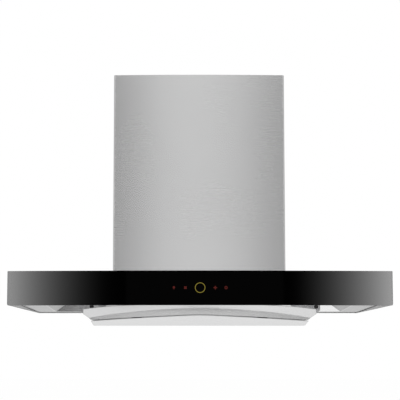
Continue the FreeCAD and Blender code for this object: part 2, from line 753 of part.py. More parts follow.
def rail_section(share, lip, inward):
    """The bent sheet of one tray rail: an upright lip, and a rim that slopes out above its bend."""
    rim, bend, foot = heights(share)
    sheet = mm("sheet")
    edge, inside = lip - inward * mm("rim_reach"), lip + inward * sheet
    corners = (
        (edge, rim),
        (lip, bend),
        (lip, foot),
        (inside, foot),
        (inside, bend + sheet),
        (edge, rim + sheet),
    )
    points = [on_flank(share, y, z) for y, z in corners]
    return Part.makePolygon(points + points[:1])


def tray_rail(lip, inward):
    return Part.makeLoft([rail_section(share, lip, inward) for share in TRAY_STATIONS], True, False)


def make_tray():
    """A frame of two arched rails and two sloping ends, with its corners cut in plan."""
    front, rear = -tray_front(), -mm("tray_rear")
    rails = [made(tray_rail(front, 1)), made(tray_rail(rear, -1))]
    ends = []
    for side in (-1, 1):
        steps = (
            (FOOT_HALF, "flank_foot"),
            ("flank_top_half", "flank_top"),
            ("flank_top_half - sheet * %s" % LEAN, "flank_top"),
            ("%s - sheet * %s" % (FOOT_HALF, LEAN), "flank_foot"),
        )
        outline = [("%d * (%s)" % (side, x), up(z)) for x, z in steps]
        ends.append(sketched("front", "tray_rear", "%s - tray_rear" % TRAY_FRONT, outline))
        ends.append(flank_wing(side))
    plan = []
    for x, y in ((1, 1), (-1, 1), (-1, -1), (1, -1)):
        wide = ("%d * flank_top_half" % x, tray_corner_y(y, "rim_corner_run"))
        narrow = ("%d * (flank_top_half - rim_corner_inset)" % x, tray_corner_y(y, "0"))
        plan += [wide, narrow] if x == y else [narrow, wide]
    limit = sketched("top", up("2 * flank_foot"), "hang_height", plan)
    node(common(fuse(*rails, *ends), limit), "deflector_tray")


def tray_corner_y(side, run):
    """A Y on the tray's rear (1) or front (-1) rim, moved towards its middle by the run."""
    if side > 0:
        return "-tray_rear + rim_reach - %s" % run
    return "-%s - rim_reach + %s" % (TRAY_FRONT, run)


def flank_wing(side):
    """The upper part of a sloping end that runs on to the rim's corners."""
    fold = "(flank_foot + (flank_top - flank_foot) / 2)"
    fold_half = "(%s + flank_lean / 2)" % FOOT_HALF
    steps = (
        (fold_half, fold),
        ("flank_top_half", "flank_top"),
        ("flank_top_half - sheet * %s" % LEAN, "flank_top"),
        ("%s - sheet * %s" % (fold_half, LEAN), fold),
    )
    outline = [("%d * (%s)" % (side, x), up(z)) for x, z in steps]
    length = "%s + rim_reach - tray_rear" % TRAY_FRONT
    return sketched("front", "tray_rear - rim_reach / 2", length, outline)


# ---------------------------------------------------------------- deflector panel and its hinge

LIP_BACK = "(%s - sheet)" % TRAY_FRONT
HINGE_HALF = "(%s - hinge_inset)" % FOOT_HALF


def panel_faces(share):
    """The panel's lower and upper face at a share of its half length, from front to rear."""
    foot = heights(share * panel_half() / foot_half())[2]
    edge = foot - mm("panel_gap") - mm("sheet")
    depths = (tray_front(), mm("keel_front"), mm("keel_rear"), mm("panel_rear"))
    levels = (edge, mm("keel_drop"), mm("keel_drop"), edge)
    lower = [(-depth, level) for depth, level in zip(depths, levels)]
    return lower, [(y, z + mm("sheet")) for y, z in lower]


def panel_ring(share, corners):
    points = [Vector(share * panel_half(), y, z - mm("hang_height")) for y, z in corners]
    return Part.makePolygon(points + points[:1])


def panel_skin(share):
    lower, upper = panel_faces(share)
    return panel_ring(share, lower + upper[::-1])


def panel_room(share):
    """The outline of what lies above the panel, up to the hood's underside."""
    upper = panel_faces(share)[1]
    return panel_ring(share, upper + [(upper[-1][0], 0), (upper[0][0], 0)])


def hinge_point(x):
    return (x, "-hinge_back", up("hinge_level"))


def make_panel():
    """The swinging cover of the tray: a keeled sheet with closed ends, and its knuckles."""
    skin = made(Part.makeLoft([panel_skin(share) for share in TRAY_STATIONS], True, False))
    ends = []
    for side in (-1, 1):
        lower, upper = panel_faces(side)
        face = Part.Face(panel_ring(side, lower + [upper[-1], upper[0]]))
        ends.append(made(face.extrude(Vector(-side * mm("sheet"), 0, 0))))
    bores, knuckles = [], []
    for side in (-1, 1):
        x = "%s - hinge_plate" % HINGE_HALF if side > 0 else neg(HINGE_HALF)
        eye = rod("x", hinge_point(x), "hinge_eye", "hinge_plate")
        z = (up("(hinge_level - hinge_eye / 2)"), up("(hinge_level + hinge_eye)"))
        arm = block((x, x + " + hinge_plate"), ("-panel_rear - hinge_eye", "-hinge_back"), z)
        knuckles += [eye, arm]
        bores.append(rod("x", hinge_point(x + " - 1"), "hinge_pin + running_gap", "hinge_plate + 2"))
    node(cut(fuse(skin, *ends, *knuckles), *bores), "deflector_panel")


def make_hinges():
    """Ears on the tray's rear lip, each with a pin that the panel's knuckle turns on."""
    ears, pins = [], []
    lip = "(tray_rear + sheet)"
    for side in (-1, 1):
        x = HINGE_HALF + " + panel_gap" if side > 0 else neg(HINGE_HALF) + " - panel_gap - hinge_plate"
        eye = rod("x", hinge_point(x), "hinge_eye + 1", "hinge_plate")
        z = (up("(hinge_level - hinge_eye)"), up("(hinge_level + hinge_eye - 1)"))
        foot = block((x, x + " + hinge_plate"), ("-hinge_back", "-" + lip), z)
        pin_x = x + " - 1" if side < 0 else x + " - hinge_plate - 2"
        pin = rod("x", hinge_point(pin_x), "hinge_pin", "2 * hinge_plate + 3")
        bore = rod("x", hinge_point(x + " - 1"), "hinge_pin", "hinge_plate + 2")
        ears.append(cut(fuse(eye, foot), bore))
        pins.append(pin)
    node(group(*ears), "hinge_ears")
    node(group(*pins), "hinge_pins")


def make_catches():
    """Magnets behind the tray's front lip and the steel pads on the panel that they hold."""
    level = "%.3f" % heights(mm("catch_half") / foot_half())[2]
    room = made(Part.makeLoft([panel_room(share) for share in TRAY_STATIONS], True, False))
    front = neg(LIP_BACK)
    rear = front + " + catch_depth"
    low = "(%s + panel_gap)" % level
    magnets, pads = [], []
    for side in (-1, 1):
        x = across("%d * catch_half" % side, "catch_width")
        magnets.append(block(x, (front, rear), (up(low), up("(%s + catch_height)" % low))))
        pad = block(x, (front + " + panel_gap", rear), (up("keel_drop"), up("(%s - fit)" % low)))
        pads.append(common(pad, room))
    node(group(*magnets), "catch_magnets")
    node(group(*pads), "catch_plates")


# ---------------------------------------------------------------- straps that carry the tray

STRAP_INNER = "(%s - strap_lap)" % FOOT_HALF
STRAP_OUTER = "(flank_top_half - strap_inset)"


def strap(side, y, facing):
    """An upright strap on the tray's sloping end, its head folded under the cavity's wall."""
    near = "(%s + 1)" % FOOT_HALF
    steps = (
        (STRAP_OUTER, "canopy_height"),
        (STRAP_OUTER, on_end(STRAP_OUTER)),
        (near, on_end(near)),
        (near, "strap_low"),
        (STRAP_INNER, "strap_low"),
        (STRAP_INNER, "canopy_height"),
    )
    face = [("%d * %s" % (side, x), up(z)) for x, z in steps]
    thick, reach = ("(%s + %d * %s)" % (y, facing, step) for step in ("strap_thick", "strap_foot"))
    steps = (
        (y, cavity_wall(y, facing)),
        (y, "2 * strap_low"),
        (thick, "2 * strap_low"),
        (thick, "%s - strap_thick" % cavity_wall(thick, facing)),
        (reach, "%s - strap_thick" % cavity_wall(reach, facing)),
        (reach, cavity_wall(reach, facing)),
    )
    bend = [(along, up("(%s)" % z)) for along, z in steps]
    flat = sketched("front", "0", "hood_depth", face)
    return common(flat, sketched("side", neg("flank_top_half"), "2 * flank_top_half", bend))


def cavity_wall(y, facing):
    """The height of the cavity's front wall, or of its plateau, over a strap."""
    if facing < 0:
        return "(pan_recess + pan_depth)"
    rise = "pan_depth / (%s - plateau_front)" % MOUTH_FRONT
    return "(pan_recess + (%s + %s) * %s)" % (MOUTH_FRONT, y, rise)


def on_end(x):
    """The height of the upper face of a tray end at a distance from the middle."""
    return "(flank_foot + (%s - %s) / %s + sheet)" % (x, FOOT_HALF, LEAN)


def make_straps():
    """Four straps, and the two thumb screws on the tray's front lip."""
    front_y = "-(%s - strap_inboard)" % LIP_BACK
    rear_y = "-(tray_rear + sheet + strap_inboard)"
    legs = [strap(side, y, facing) for y, facing in ((front_y, 1), (rear_y, -1)) for side in (-1, 1)]
    node(group(*legs), "tray_straps")
    knobs, rings = [], []
    for x in ("-(flank_top_half - knob_left)", "flank_top_half - knob_right"):
        start = (x, "%s - knob_length" % front_y, up("0"))
        knobs.append(rod("y", start, "knob_radius - knob_ring", "knob_length"))
        ring_start = (x, "%s - knob_length / 2" % front_y, up("0"))
        rings.append(tube("y", ring_start, "knob_radius", "knob_radius - knob_ring", "knob_length / 2"))
    node(group(*knobs), "strap_knobs")
    node(group(*rings), "knob_rings")


# ---------------------------------------------------------------- oil cup


CUP_RIM = "(%s - cup_gap)" % PAN_LOW


def make_oil_cup():
    """A cup that slides forward out of two rails under the pan's rear margin."""
    y = ("-cup_front", "-cup_rear")
    foot = "(%s - cup_drop)" % CUP_RIM
    body = block(both("cup_half"), y, (up(foot), up(CUP_RIM)))
    flange = block(both("cup_half + cup_flange"), y, (up("(%s - cup_wall)" % CUP_RIM), up(CUP_RIM)))
    hollow_y = ("-cup_front + cup_wall", "-cup_rear - cup_wall")
    hollow_z = (up("(%s + cup_wall)" % foot), up("(%s + 1)" % CUP_RIM))
    hollow = block(both("cup_half - cup_wall"), hollow_y, hollow_z)
    node(cut(fuse(body, flange), hollow), "oil_cup")
    rails = []
    for side in (-1, 1):
        inner, outer = "(cup_half + fit)", "(cup_half + cup_flange + fit)"
        ledge = "(%s - cup_wall - fit)" % CUP_RIM
        steps = (
            (inner, ledge),
            (inner, ledge + " - sheet"),
            (outer + " + sheet", ledge + " - sheet"),
            (outer + " + sheet", PAN_LOW),
            (outer, PAN_LOW),
            (outer, ledge),
        )
        outline = [("%d * (%s)" % (side, x), up("(%s)" % z)) for x, z in steps]
        rails.append(sketched("front", "cup_rear", "cup_front - cup_rear", outline))
    node(group(*rails), "cup_rails")


# ---------------------------------------------------------------- chimney, back and wall bracket

CHIMNEY_Z = (up("canopy_height"), up("chimney_top"))
CHIMNEY_DEPTH = "(hood_depth - chimney_front)"
PLATE_TOP = "(chimney_top - top_sink)"
GLAND_STEM = "(gland_radius + gland_bore) / 2"


def front_folds(shape):
    """The upright edges at the front corners of a chimney block."""
    front = shape.BoundBox.YMin + mm("chimney_bend")
    found = []
    for i, edge in enumerate(shape.Edges, 1):
        box = edge.BoundBox
        if box.XLength < 0.01 and box.YLength < 0.01 and box.YMin < front:
            found.append(i)
    return found


def chimney_block(half, back, depth, z, radius):
    """A block with the curved front and two rounded front corners."""
    stock = common(block(both(half), ("-hood_depth", back), z), behind_front(depth))
    doc.recompute()
    rounded = doc.addObject("Part::Fillet", "Folds")
    rounded.Base = stock
    rounded.Edges = [(i, radius, radius) for i in front_folds(stock.Shape)]
    return rounded


def make_chimney(screws):
    """The chimney cover and the plate that closes its top."""
    back = "-wall_gap - sheet - fit"
    bend = mm("chimney_bend")
    outer = chimney_block("chimney_half", back, CHIMNEY_DEPTH, CHIMNEY_Z, bend)
    through = (up("0"), up("(chimney_top + 1)"))
    inner_bend = bend - mm("sheet")
    inner_depth = CHIMNEY_DEPTH + " + sheet"
    inner = chimney_block("(chimney_half - sheet)", "0", inner_depth, through, inner_bend)
    flanges = []
    flange_z = (CHIMNEY_Z[0], up("(%s - sheet - fit)" % PLATE_TOP))
    for side in (-1, 1):
        x = across("%d * (chimney_half - chimney_return / 2)" % side, "chimney_return")
        flanges.append(block(x, (back + " - sheet", back), flange_z))
    node(cut(fuse(cut(outer, inner), *flanges), screws), "chimney_cover")
    half, depth = "(chimney_half - sheet - fit)", inner_depth + " + fit"
    plate_z = (up("(%s - sheet)" % PLATE_TOP), up(PLATE_TOP))
    plate = chimney_block(half, back, depth, plate_z, inner_bend)
    mouth = rod("z", ("0", "-collar_back", up("0")), "collar_radius - collar_wall", "2 * hang_height")
    gland = rod("z", ("-gland_left", "-gland_back", up("0")), GLAND_STEM, "2 * hang_height")
    node(cut(plate, mouth, gland), "top_plate")


def make_back_plate(screws):
    """The upright plate in the chimney's back, slotted for the wall bracket's hooks."""
    half = "(chimney_half - sheet)"
    y = ("-wall_gap - sheet", "-wall_gap")
    plate = block(both(half), y, (CHIMNEY_Z[0], up(PLATE_TOP)))
    slots = []
    for side in (-1, 1):
        x = across("%d * hook_half" % side, "hook_width + 2")
        z = ("bracket_height / 2 - 3 * bracket_thick", "bracket_height / 2")
        slots.append(block(x, ("-wall_gap - sheet - 1", "0"), z))
    node(cut(plate, *slots, screws), "back_plate")


def make_wall_bracket():
    """The plate that is bolted to the wall, with two hooks that the back plate hangs on."""
    holes = []
    for x in ("-bolt_span_x / 2", "bolt_span_x / 2"):
        for z in ("-bolt_span_z / 2", "bolt_span_z / 2"):
            holes.append((x, z, "bolt_hole"))
    outline = rectangle(both("bracket_half"), both("bracket_height / 2"))
    plate = sketched("front", "0", "bracket_thick", outline, holes)
    hooks = []
    for side in (-1, 1):
        x = across("%d * hook_half" % side, "hook_width")
        low, top = "bracket_height / 2 - 1 - bracket_thick", "bracket_height / 2 - 1"
        reach = "-wall_gap - sheet - fit - bracket_thick"
        shelf = block(x, (reach, "-bracket_thick"), (low, top))
        rise = block(x, (reach, reach + " + bracket_thick"), (low, top + " + hook_rise"))
        hooks += [shelf, rise]
    node(fuse(plate, *hooks), "wall_bracket")


# ---------------------------------------------------------------- blower

FAN_X = "-fan_left"
FAN_Z = up("fan_level")


def scroll_radius(angle):
    """The scroll opens evenly from its tongue round to its outlet."""
    start, end = mm("scroll_start"), mm("scroll_end")
    tongue = mm("scroll_tongue")
    return start * (end / start) ** ((angle - tongue) / (360 - tongue))


def throat_left():
    """The X of the outlet channel's inner wall, at the tongue."""
    return mm("scroll_start") * math.cos(math.radians(mm("scroll_tongue"))) - mm("fan_left")


def scroll_face(growth):
    """The outline of the scroll with its outlet channel, seen from the front."""
    centre = Vector(-mm("fan_left"), 0, mm("fan_level") - mm("hang_height"))
    top = mm("scroll_throat") - mm("hang_height")
    turns = []
    steps = 12
    tongue = mm("scroll_tongue")
    for i in range(steps + 1):
        angle = tongue + (360 - tongue) * i / steps
        reach = scroll_radius(angle) + growth
        turn = math.radians(angle)
        turns.append(centre + Vector(math.cos(turn), 0, math.sin(turn)) * reach)
    turns[0].x = throat_left() - growth
    curve = Part.BSplineCurve()
    curve.interpolate(turns)
    corners = [turns[-1], Vector(turns[-1].x, 0, top), Vector(turns[0].x, 0, top), turns[0]]
    edges = [curve.toShape()]
    edges += [Part.LineSegment(a, b).toShape() for a, b in zip(corners, corners[1:])]
    return Part.Face(Part.Wire(edges))


def scroll_slab(growth, front, rear):
    """The scroll's outline as a slab between two distances from the wall."""
    slab = scroll_face(growth).extrude(Vector(0, front - rear, 0))
    slab.translate(Vector(0, -front, 0))
    return made(slab)


def make_scroll():
    """The blower's casing: a band between a front plate with the eye and a back plate."""
    front, rear, sheet = mm("scroll_front"), mm("scroll_rear"), mm("sheet")
    band = cut(scroll_slab(sheet, front - sheet, rear + sheet), scroll_slab(0, front, rear))
    node(band, "scroll_band")
    eye = rod("y", (FAN_X, "-scroll_front - 1", FAN_Z), "eye_radius", "sheet + 2")
    node(cut(scroll_slab(sheet, front, front - sheet), eye), "scroll_front_plate")
    hole = rod("y", (FAN_X, "-scroll_rear - sheet - 1", FAN_Z), "bearing_radius", "sheet + 2")
    node(cut(scroll_slab(sheet, rear + sheet, rear), hole), "scroll_back_plate")


def quarter(centre, radius):
    """A quarter circle from straight below its centre round to the side of the axis."""
    points = [centre + polar(radius, math.tau * share) for share in (3 / 4, 5 / 8, 1 / 2)]
    return Part.Arc(*points).toShape()


def make_inlet_bell():
    """The flared ring round the eye of the scroll."""
    flare = mm("eye_flare")
    centre = Vector(mm("eye_radius") + flare, 0, flare)
    arcs = [quarter(centre, flare), quarter(centre, flare - mm("sheet"))]
    ends = [Part.LineSegment(*pair).toShape() for pair in zip(*(end_points(arc) for arc in arcs))]
    face = Part.Face(Part.Wire([arcs[0], ends[1], arcs[1], ends[0]]))
    ring = face.revolve(Vector(), Vector(0, 0, 1), 360)
    ring.rotate(Vector(), Vector(1, 0, 0), -90)
    level = mm("fan_level") - mm("hang_height")
    ring.translate(Vector(-mm("fan_left"), -mm("scroll_front") - flare, level))
    node(made(ring), "inlet_bell")


def end_points(edge):
    return [vertex.Point for vertex in edge.Vertexes]


BLADE_INSET = 0.5
BLADE_BELLY = 0.1


def make_impeller():
    """A drum of forward-curved blades between a back plate and a front ring."""
    centre = Vector(-mm("fan_left"), 0, mm("fan_level") - mm("hang_height"))
    front = -(mm("scroll_front") - mm("wheel_gap"))
    back = -(mm("scroll_rear") + mm("wheel_gap"))
    outer, rim, plate = mm("wheel_radius"), mm("wheel_rim"), mm("wheel_plate")
    along = Vector(0, 1, 0)
    disc = Part.makeCylinder(outer, plate, Vector(centre.x, back - plate, centre.z), along)
    ring = Part.makeCylinder(outer, plate, Vector(centre.x, front, centre.z), along)
    ring = ring.cut(Part.makeCylinder(outer - rim, plate, Vector(centre.x, front, centre.z), along))
    hub_start = Vector(centre.x, back - plate - mm("hub_length"), centre.z)
    hub = Part.makeCylinder(mm("hub_radius"), mm("hub_length"), hub_start, along)
    drum = disc.fuse([ring, hub] + blades(centre, front, back - plate))
    bore = Part.makeCylinder(mm("shaft_radius"), mm("hub_length") + 2 * plate, hub_start - along, along)
    node(made(drum.cut(bore)), "impeller")


def blades(centre, front, back):
    """The curved blades between the impeller's two ends."""
    outer, rim = mm("wheel_radius") - BLADE_INSET, mm("wheel_rim") - 2 * BLADE_INSET
    swing = math.asin(rim * math.sin(math.radians(mm("blade_lean"))) / outer)
    radii = (outer - rim, outer - rim / 2, outer)
    turns = (0, -BLADE_BELLY * swing, swing)
    count = int(mm("blade_count"))
    cut_out = []
    for i in range(count):
        turn = math.tau * i / count
        hollow = [polar(r, turn + t) for r, t in zip(radii, turns)]
        rounded = [polar(r, turn + t + mm("blade_thick") / r) for r, t in zip(radii, turns)]
        edges = [
            Part.Arc(*hollow).toShape(),
            Part.LineSegment(hollow[-1], rounded[-1]).toShape(),
            Part.Arc(*rounded[::-1]).toShape(),
            Part.LineSegment(rounded[0], hollow[0]).toShape(),
        ]
        blade = Part.Face(Part.Wire(edges)).extrude(Vector(0, back - front, 0))
        blade.translate(Vector(centre.x, front, centre.z))
        cut_out.append(blade)
    return cut_out


def polar(radius, angle):
    return Vector(radius * math.cos(angle), 0, radius * math.sin(angle))


def fan_point(distance):
    """A point of the fan's axis at a distance from the wall."""
    return (FAN_X, neg(distance), FAN_Z)


def make_motor(screws):
    """Housing with three lugs, end cover, stator, rotor, shaft and two bearings."""
    length = "(scroll_rear - motor_rear)"
    inner = "motor_radius - motor_wall"
    can = tube("y", fan_point("scroll_rear"), "motor_radius", inner, "%s - motor_wall" % length)
    face = tube("y", fan_point("scroll_rear"), "motor_radius", "bearing_radius", "motor_wall")
    seat = bearing_seat("scroll_rear")
    lugs = [motor_screw(i, "motor_lug / 2", "-scroll_rear", "motor_wall") for i in range(3)]
    inside = rod("y", fan_point("scroll_rear"), "motor_radius - motor_wall / 2", "motor_wall * 2")
    lugs = cut(fuse(*lugs), inside)
    node(cut(fuse(can, face, seat, lugs), screws), "motor_housing")
    cover = rod("y", fan_point("motor_rear + motor_wall"), "motor_radius", "motor_wall")
    rear_seat = "(motor_rear + motor_wall + bearing_width)"
    node(fuse(cover, bearing_seat(rear_seat)), "motor_end_cover")
    bearings = []
    for start in ("scroll_rear", rear_seat):
        bore = "shaft_radius + running_gap"
        bearings.append(tube("y", fan_point(start), "bearing_radius", bore, "bearing_width"))
    node(group(*bearings), "motor_bearings")
    core_start = "scroll_rear - bearing_width - core_gap"
    core_length = "%s - 2 * (bearing_width + core_gap) - motor_wall" % length
    stator = tube("y", fan_point(core_start), inner, "rotor_radius + air_gap", core_length)
    node(stator, "motor_stator")
    node(tube("y", fan_point(core_start), "rotor_radius", "shaft_radius", core_length), "motor_rotor")
    tip = "(scroll_rear + wheel_gap + wheel_plate + hub_length)"
    shaft = rod("y", fan_point(tip), "shaft_radius", "%s - motor_rear - motor_wall - 1" % tip)
    node(shaft, "motor_shaft")


def bearing_seat(start):
    """The round wall that holds a bearing, from a distance to the wall."""
    return tube("y", fan_point(start), "bearing_radius + motor_wall", "bearing_radius", "bearing_width")


def motor_screw(i, radius, start, length):
    """A round bar at one of the motor's three lugs."""
    turn = math.tau * (1 / 4 + i / 3)
    x = "%s + (motor_radius + motor_lug / 3) * %.6f" % (FAN_X, math.cos(turn))
    z = "%s + (motor_radius + motor_lug / 3) * %.6f" % (FAN_Z, math.sin(turn))
    return rod("y", (x, start, z), radius, length)


def motor_screws():
    screws = []
    for i in range(3):
        shank = motor_screw(i, "screw_radius", "-scroll_rear", "motor_wall")
        head = motor_screw(i, "screw_head", "-scroll_rear + motor_wall", "screw_head_rise")
        screws.append(fuse(shank, head))
    return screws


def make_scroll_posts():
    """Four posts that carry the scroll's back plate on the hood's back plate."""
    posts = []
    for dx, dz in ((-1, -1), (1, -1), (-1, 1), (1, 1)):
        x = "%s + %d * post_reach" % (FAN_X, dx)
        z = "%s + %d * post_reach" % (FAN_Z, dz)
        posts.append(rod("y", (x, "-scroll_rear", z), "post_radius", "scroll_rear - wall_gap - sheet"))
    node(group(*posts), "scroll_posts")


def make_outlet_duct():
    """The sheet transition from the scroll's square outlet to the round collar."""
    bottom = mm("scroll_throat") - mm("hang_height")
    top = mm("chimney_top") - mm("top_sink") - mm("sheet") - mm("hang_height")
    x = (throat_left(), mm("scroll_end") - mm("fan_left"))
    y = (-mm("scroll_front"), -mm("scroll_rear"))
    shells = [transition(x, y, bottom, top, growth) for growth in (mm("sheet"), 0)]
    node(made(shells[0].cut(shells[1])), "outlet_duct")


def transition(x, y, bottom, top, growth):
    """The duct's form between its square foot and its round head."""
    x = (x[0] - growth, x[1] + growth)
    y = (y[0] - growth, y[1] + growth)
    square = [Vector(a, b, bottom) for a, b in rectangle(x, y)]
    radius = mm("collar_radius") - mm("collar_wall") + growth
    middle = Vector(0, -mm("collar_back"), top)
    arcs = []
    for i in range(len(square)):
        turns = [math.tau * (i + part - 3 / 2) / len(square) for part in (0, 1 / 2, 1)]
        points = [middle + Vector(math.cos(turn), math.sin(turn), 0) * radius for turn in turns]
        arcs.append(Part.Arc(*points).toShape())
    return Part.makeLoft([Part.makePolygon(square + square[:1]), Part.Wire(arcs)], True, True)


# ---------------------------------------------------------------- duct collar and its flaps

COLLAR_FOOT = "(%s + gasket)" % PLATE_TOP
PIN_LEVEL = "(%s + flap_level)" % COLLAR_FOOT


def collar_point(level):
    return ("0", "-collar_back", up(level))


def make_collar(screws):
    """Gasket, flanged duct collar with a ledge inside, and the pin that the flaps turn on."""
    outer, inner = "collar_radius + collar_flange", "collar_radius - collar_wall"
    node(cut(tube("z", collar_point(PLATE_TOP), outer, inner, "gasket"), screws), "collar_gasket")
    foot = collar_point(COLLAR_FOOT)
    flange = tube("z", foot, outer, inner, "collar_wall")
    wall = tube("z", foot, "collar_radius", inner, "collar_height + collar_wall")
    seat_foot = collar_point("(%s - 2 * collar_wall)" % PIN_LEVEL)
    seat = tube("z", seat_foot, inner + " / 2", inner + " - seat_width", "collar_wall")
    start = ("-collar_radius", "-collar_back", up(PIN_LEVEL))
    hole = rod("x", start, "flap_pin", "2 * collar_radius")
    node(cut(fuse(flange, wall, seat), hole, screws), "duct_collar")
    node(rod("x", start, "flap_pin", "2 * collar_radius"), "flap_pin")


def make_flaps():
    """Two half discs that hang from one pin and close on the collar's ledge."""
    level = up(PIN_LEVEL)
    disc_z = ("%s - collar_wall + fit" % level, "%s - collar_wall + fit + sheet" % level)
    radius = "collar_radius - collar_wall - flap_gap"
    for name, side, places in (("front", -1, (-0.62, 0.28)), ("rear", 1, (-0.28, 0.62))):
        disc = rod("z", ("0", "-collar_back", disc_z[0]), radius, "sheet")
        side_y = flap_y(side, "flap_eye + 1", "collar_radius")
        half = common(disc, block(both("collar_radius"), side_y, disc_z))
        eyes, bores = [], []
        for place in places:
            x = "%s * collar_radius" % place
            ends = (x, x + " + flap_eye_length")
            eyes.append(rod("x", (x, "-collar_back", level), "flap_eye", "flap_eye_length"))
            eyes.append(block(ends, flap_y(side, "0", "flap_eye + 2"), disc_z))
            start = (x + " - 1", "-collar_back", level)
            bores.append(rod("x", start, "flap_pin + running_gap", "flap_eye_length + 2"))
        node(cut(fuse(half, *eyes), *bores), name + "_damper_flap")


def flap_y(side, near, far):
    """The limits of a flap between two distances from its pin."""
    ends = ("-collar_back + %d * (%s)" % (side, near), "-collar_back + %d * (%s)" % (side, far))
    return ends if side > 0 else ends[::-1]


# ---------------------------------------------------------------- electrical pieces


def make_power_box():
    """A box on the back plate for the mains board, its lid, and the motor's capacitor."""
    x_end = "(chimney_half - chimney_return - box_gap)"
    x = ("%s - box_width" % x_end, x_end)
    back = "-wall_gap - sheet"
    y = ("%s - box_depth" % back, back)
    z = (up("box_level"), up("(box_level + box_height)"))
    inner_y = ("%s - 1" % y[0], "%s - box_wall" % y[1])
    hollow = block(shrunk(x, "box_wall"), inner_y, shrunk(z, "box_wall"))
    node(cut(block(x, y, z), hollow), "power_box")
    node(block(x, ("%s - box_wall" % y[0], y[0]), z), "power_box_lid")
    board_y = ("%s - box_wall - board_thick" % y[1], "%s - box_wall" % y[1])
    node(block(shrunk(x, "2 * box_wall"), board_y, shrunk(z, "2 * box_wall")), "power_board")
    middle = "(%s - box_width / 2)" % x_end
    start = (middle, "%s - capacitor_radius" % back, z[1] + " + 2 * box_gap")
    node(rod("z", start, "capacitor_radius", "capacitor_length"), "motor_capacitor")


def shrunk(limits, wall):
    """The limits of a hollow inside a wall."""
    return "%s + %s" % (limits[0], wall), "%s - %s" % (limits[1], wall)


def make_gland():
    """The gland in the top plate where the supply cord enters."""
    x, y = "-gland_left", "-gland_back"
    collar = rod("z", (x, y, up(PLATE_TOP)), "gland_radius", "gland_rise")
    stem = rod("z", (x, y, up("(%s - sheet - nut_height)" % PLATE_TOP)), GLAND_STEM, "sheet + nut_height")
    bore = rod("z", (x, y, up("0")), "gland_bore", "2 * hang_height")
    node(cut(fuse(collar, stem), bore), "cord_gland")
    nut_foot = (x, y, up("(%s - sheet - nut_height)" % PLATE_TOP))
    nut = tube("z", nut_foot, "gland_radius", GLAND_STEM, "nut_height")
    node(nut, "gland_nut")


# ---------------------------------------------------------------- screws that show


def side_screw(side, level, radius, depth, start):
    """A round bar through the chimney's side, near the wall."""
    x = "%s - (%s)" % (start, depth) if side > 0 else "-(%s)" % start
    return rod("x", (x, "-wall_gap - chimney_return", up(level)), radius, depth)


SIDE_LEVELS = ("(canopy_height + 40)", "((canopy_height + chimney_top) / 2)", "(chimney_top - 40)")


def chimney_shank(side, level):
    return side_screw(side, level, "screw_radius", "screw_reach", "chimney_half")


def chimney_screws():
    screws = []
    for side in (-1, 1):
        for level in SIDE_LEVELS:
            outside = "chimney_half + screw_head_rise"
            head = side_screw(side, level, "screw_head", "screw_head_rise", outside)
            screws.append(fuse(chimney_shank(side, level), head))
    return screws


def collar_screw(i, radius, level, length):
    """A round bar at one of the four holes of the collar's flange."""
    turn = math.tau * (1 / 8 + i / 4)
    x = "(collar_radius + collar_flange / 2) * %.6f" % math.cos(turn)
    y = "-collar_back + (collar_radius + collar_flange / 2) * %.6f" % math.sin(turn)
    return rod("z", (x, y, up(level)), radius, length)


def collar_screws():
    screws = []
    for i in range(4):
        shank = collar_screw(i, "screw_radius", PLATE_TOP, "gasket + collar_wall")
        head = collar_screw(i, "screw_head", "(%s + collar_wall)" % COLLAR_FOOT, "screw_head_rise")
        screws.append(fuse(shank, head))
    return screws


# ---------------------------------------------------------------- the whole hood


def make_all():
    frame_holes = group(*[frame_screw(place, "screw_radius") for place in SCREW_PLACES])
    make_glass()
    make_glass_frame(frame_holes)
    make_keys()
    make_canopy(frame_holes)
    make_pan()
    make_lamps()
    make_filter()
    make_tray()
    make_panel()
    make_hinges()
    make_catches()
    make_straps()
    make_oil_cup()
    shanks = group(*[chimney_shank(side, level) for side in (-1, 1) for level in SIDE_LEVELS])
    make_chimney(shanks)
    make_back_plate(shanks)
    make_wall_bracket()
    make_scroll()
    make_inlet_bell()
    make_impeller()
    make_motor(group(*[motor_screw(i, "screw_radius", "-scroll_rear", "motor_wall") for i in range(3)]))
    make_scroll_posts()
    make_outlet_duct()
    collar_holes = [collar_screw(i, "screw_radius", PLATE_TOP, "gasket + collar_wall") for i in range(4)]
    make_collar(group(*collar_holes))
    make_flaps()
    make_power_box()
    make_gland()
    node(group(*frame_screws(), *motor_screws(), *chimney_screws(), *collar_screws()), "sheet_screws")


def check_all():
    """Every object of the document is sound, and every piece is a valid solid."""
    for thing in doc.Objects:
        if "Invalid" in thing.State or "Error" in thing.State:
            raise RuntimeError("%s failed: %s" % (thing.Label, thing.State))
    for thing in NODES:
        shape = thing.Shape
        if shape.isNull() or not shape.isValid() or not shape.Solids:
            raise RuntimeError("%s is not a valid solid" % thing.Label)
        print("%-20s %2d solids %10.0f mm3" % (thing.Label, len(shape.Solids), shape.Volume))


def write_all():
    os.makedirs("parts", exist_ok=True)
    for thing in NODES:
        thing.Shape.exportStep("parts/%s.step" % thing.Label)
    print("%d pieces" % len(NODES))


make_all()
doc.recompute()
check_all()
write_all()
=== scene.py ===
"""The looks of the wall-hung range hood: materials, the glass pane with its keys, light and camera.

Lengths are in metres. X runs to the right, Y towards the wall and Z up.
"""

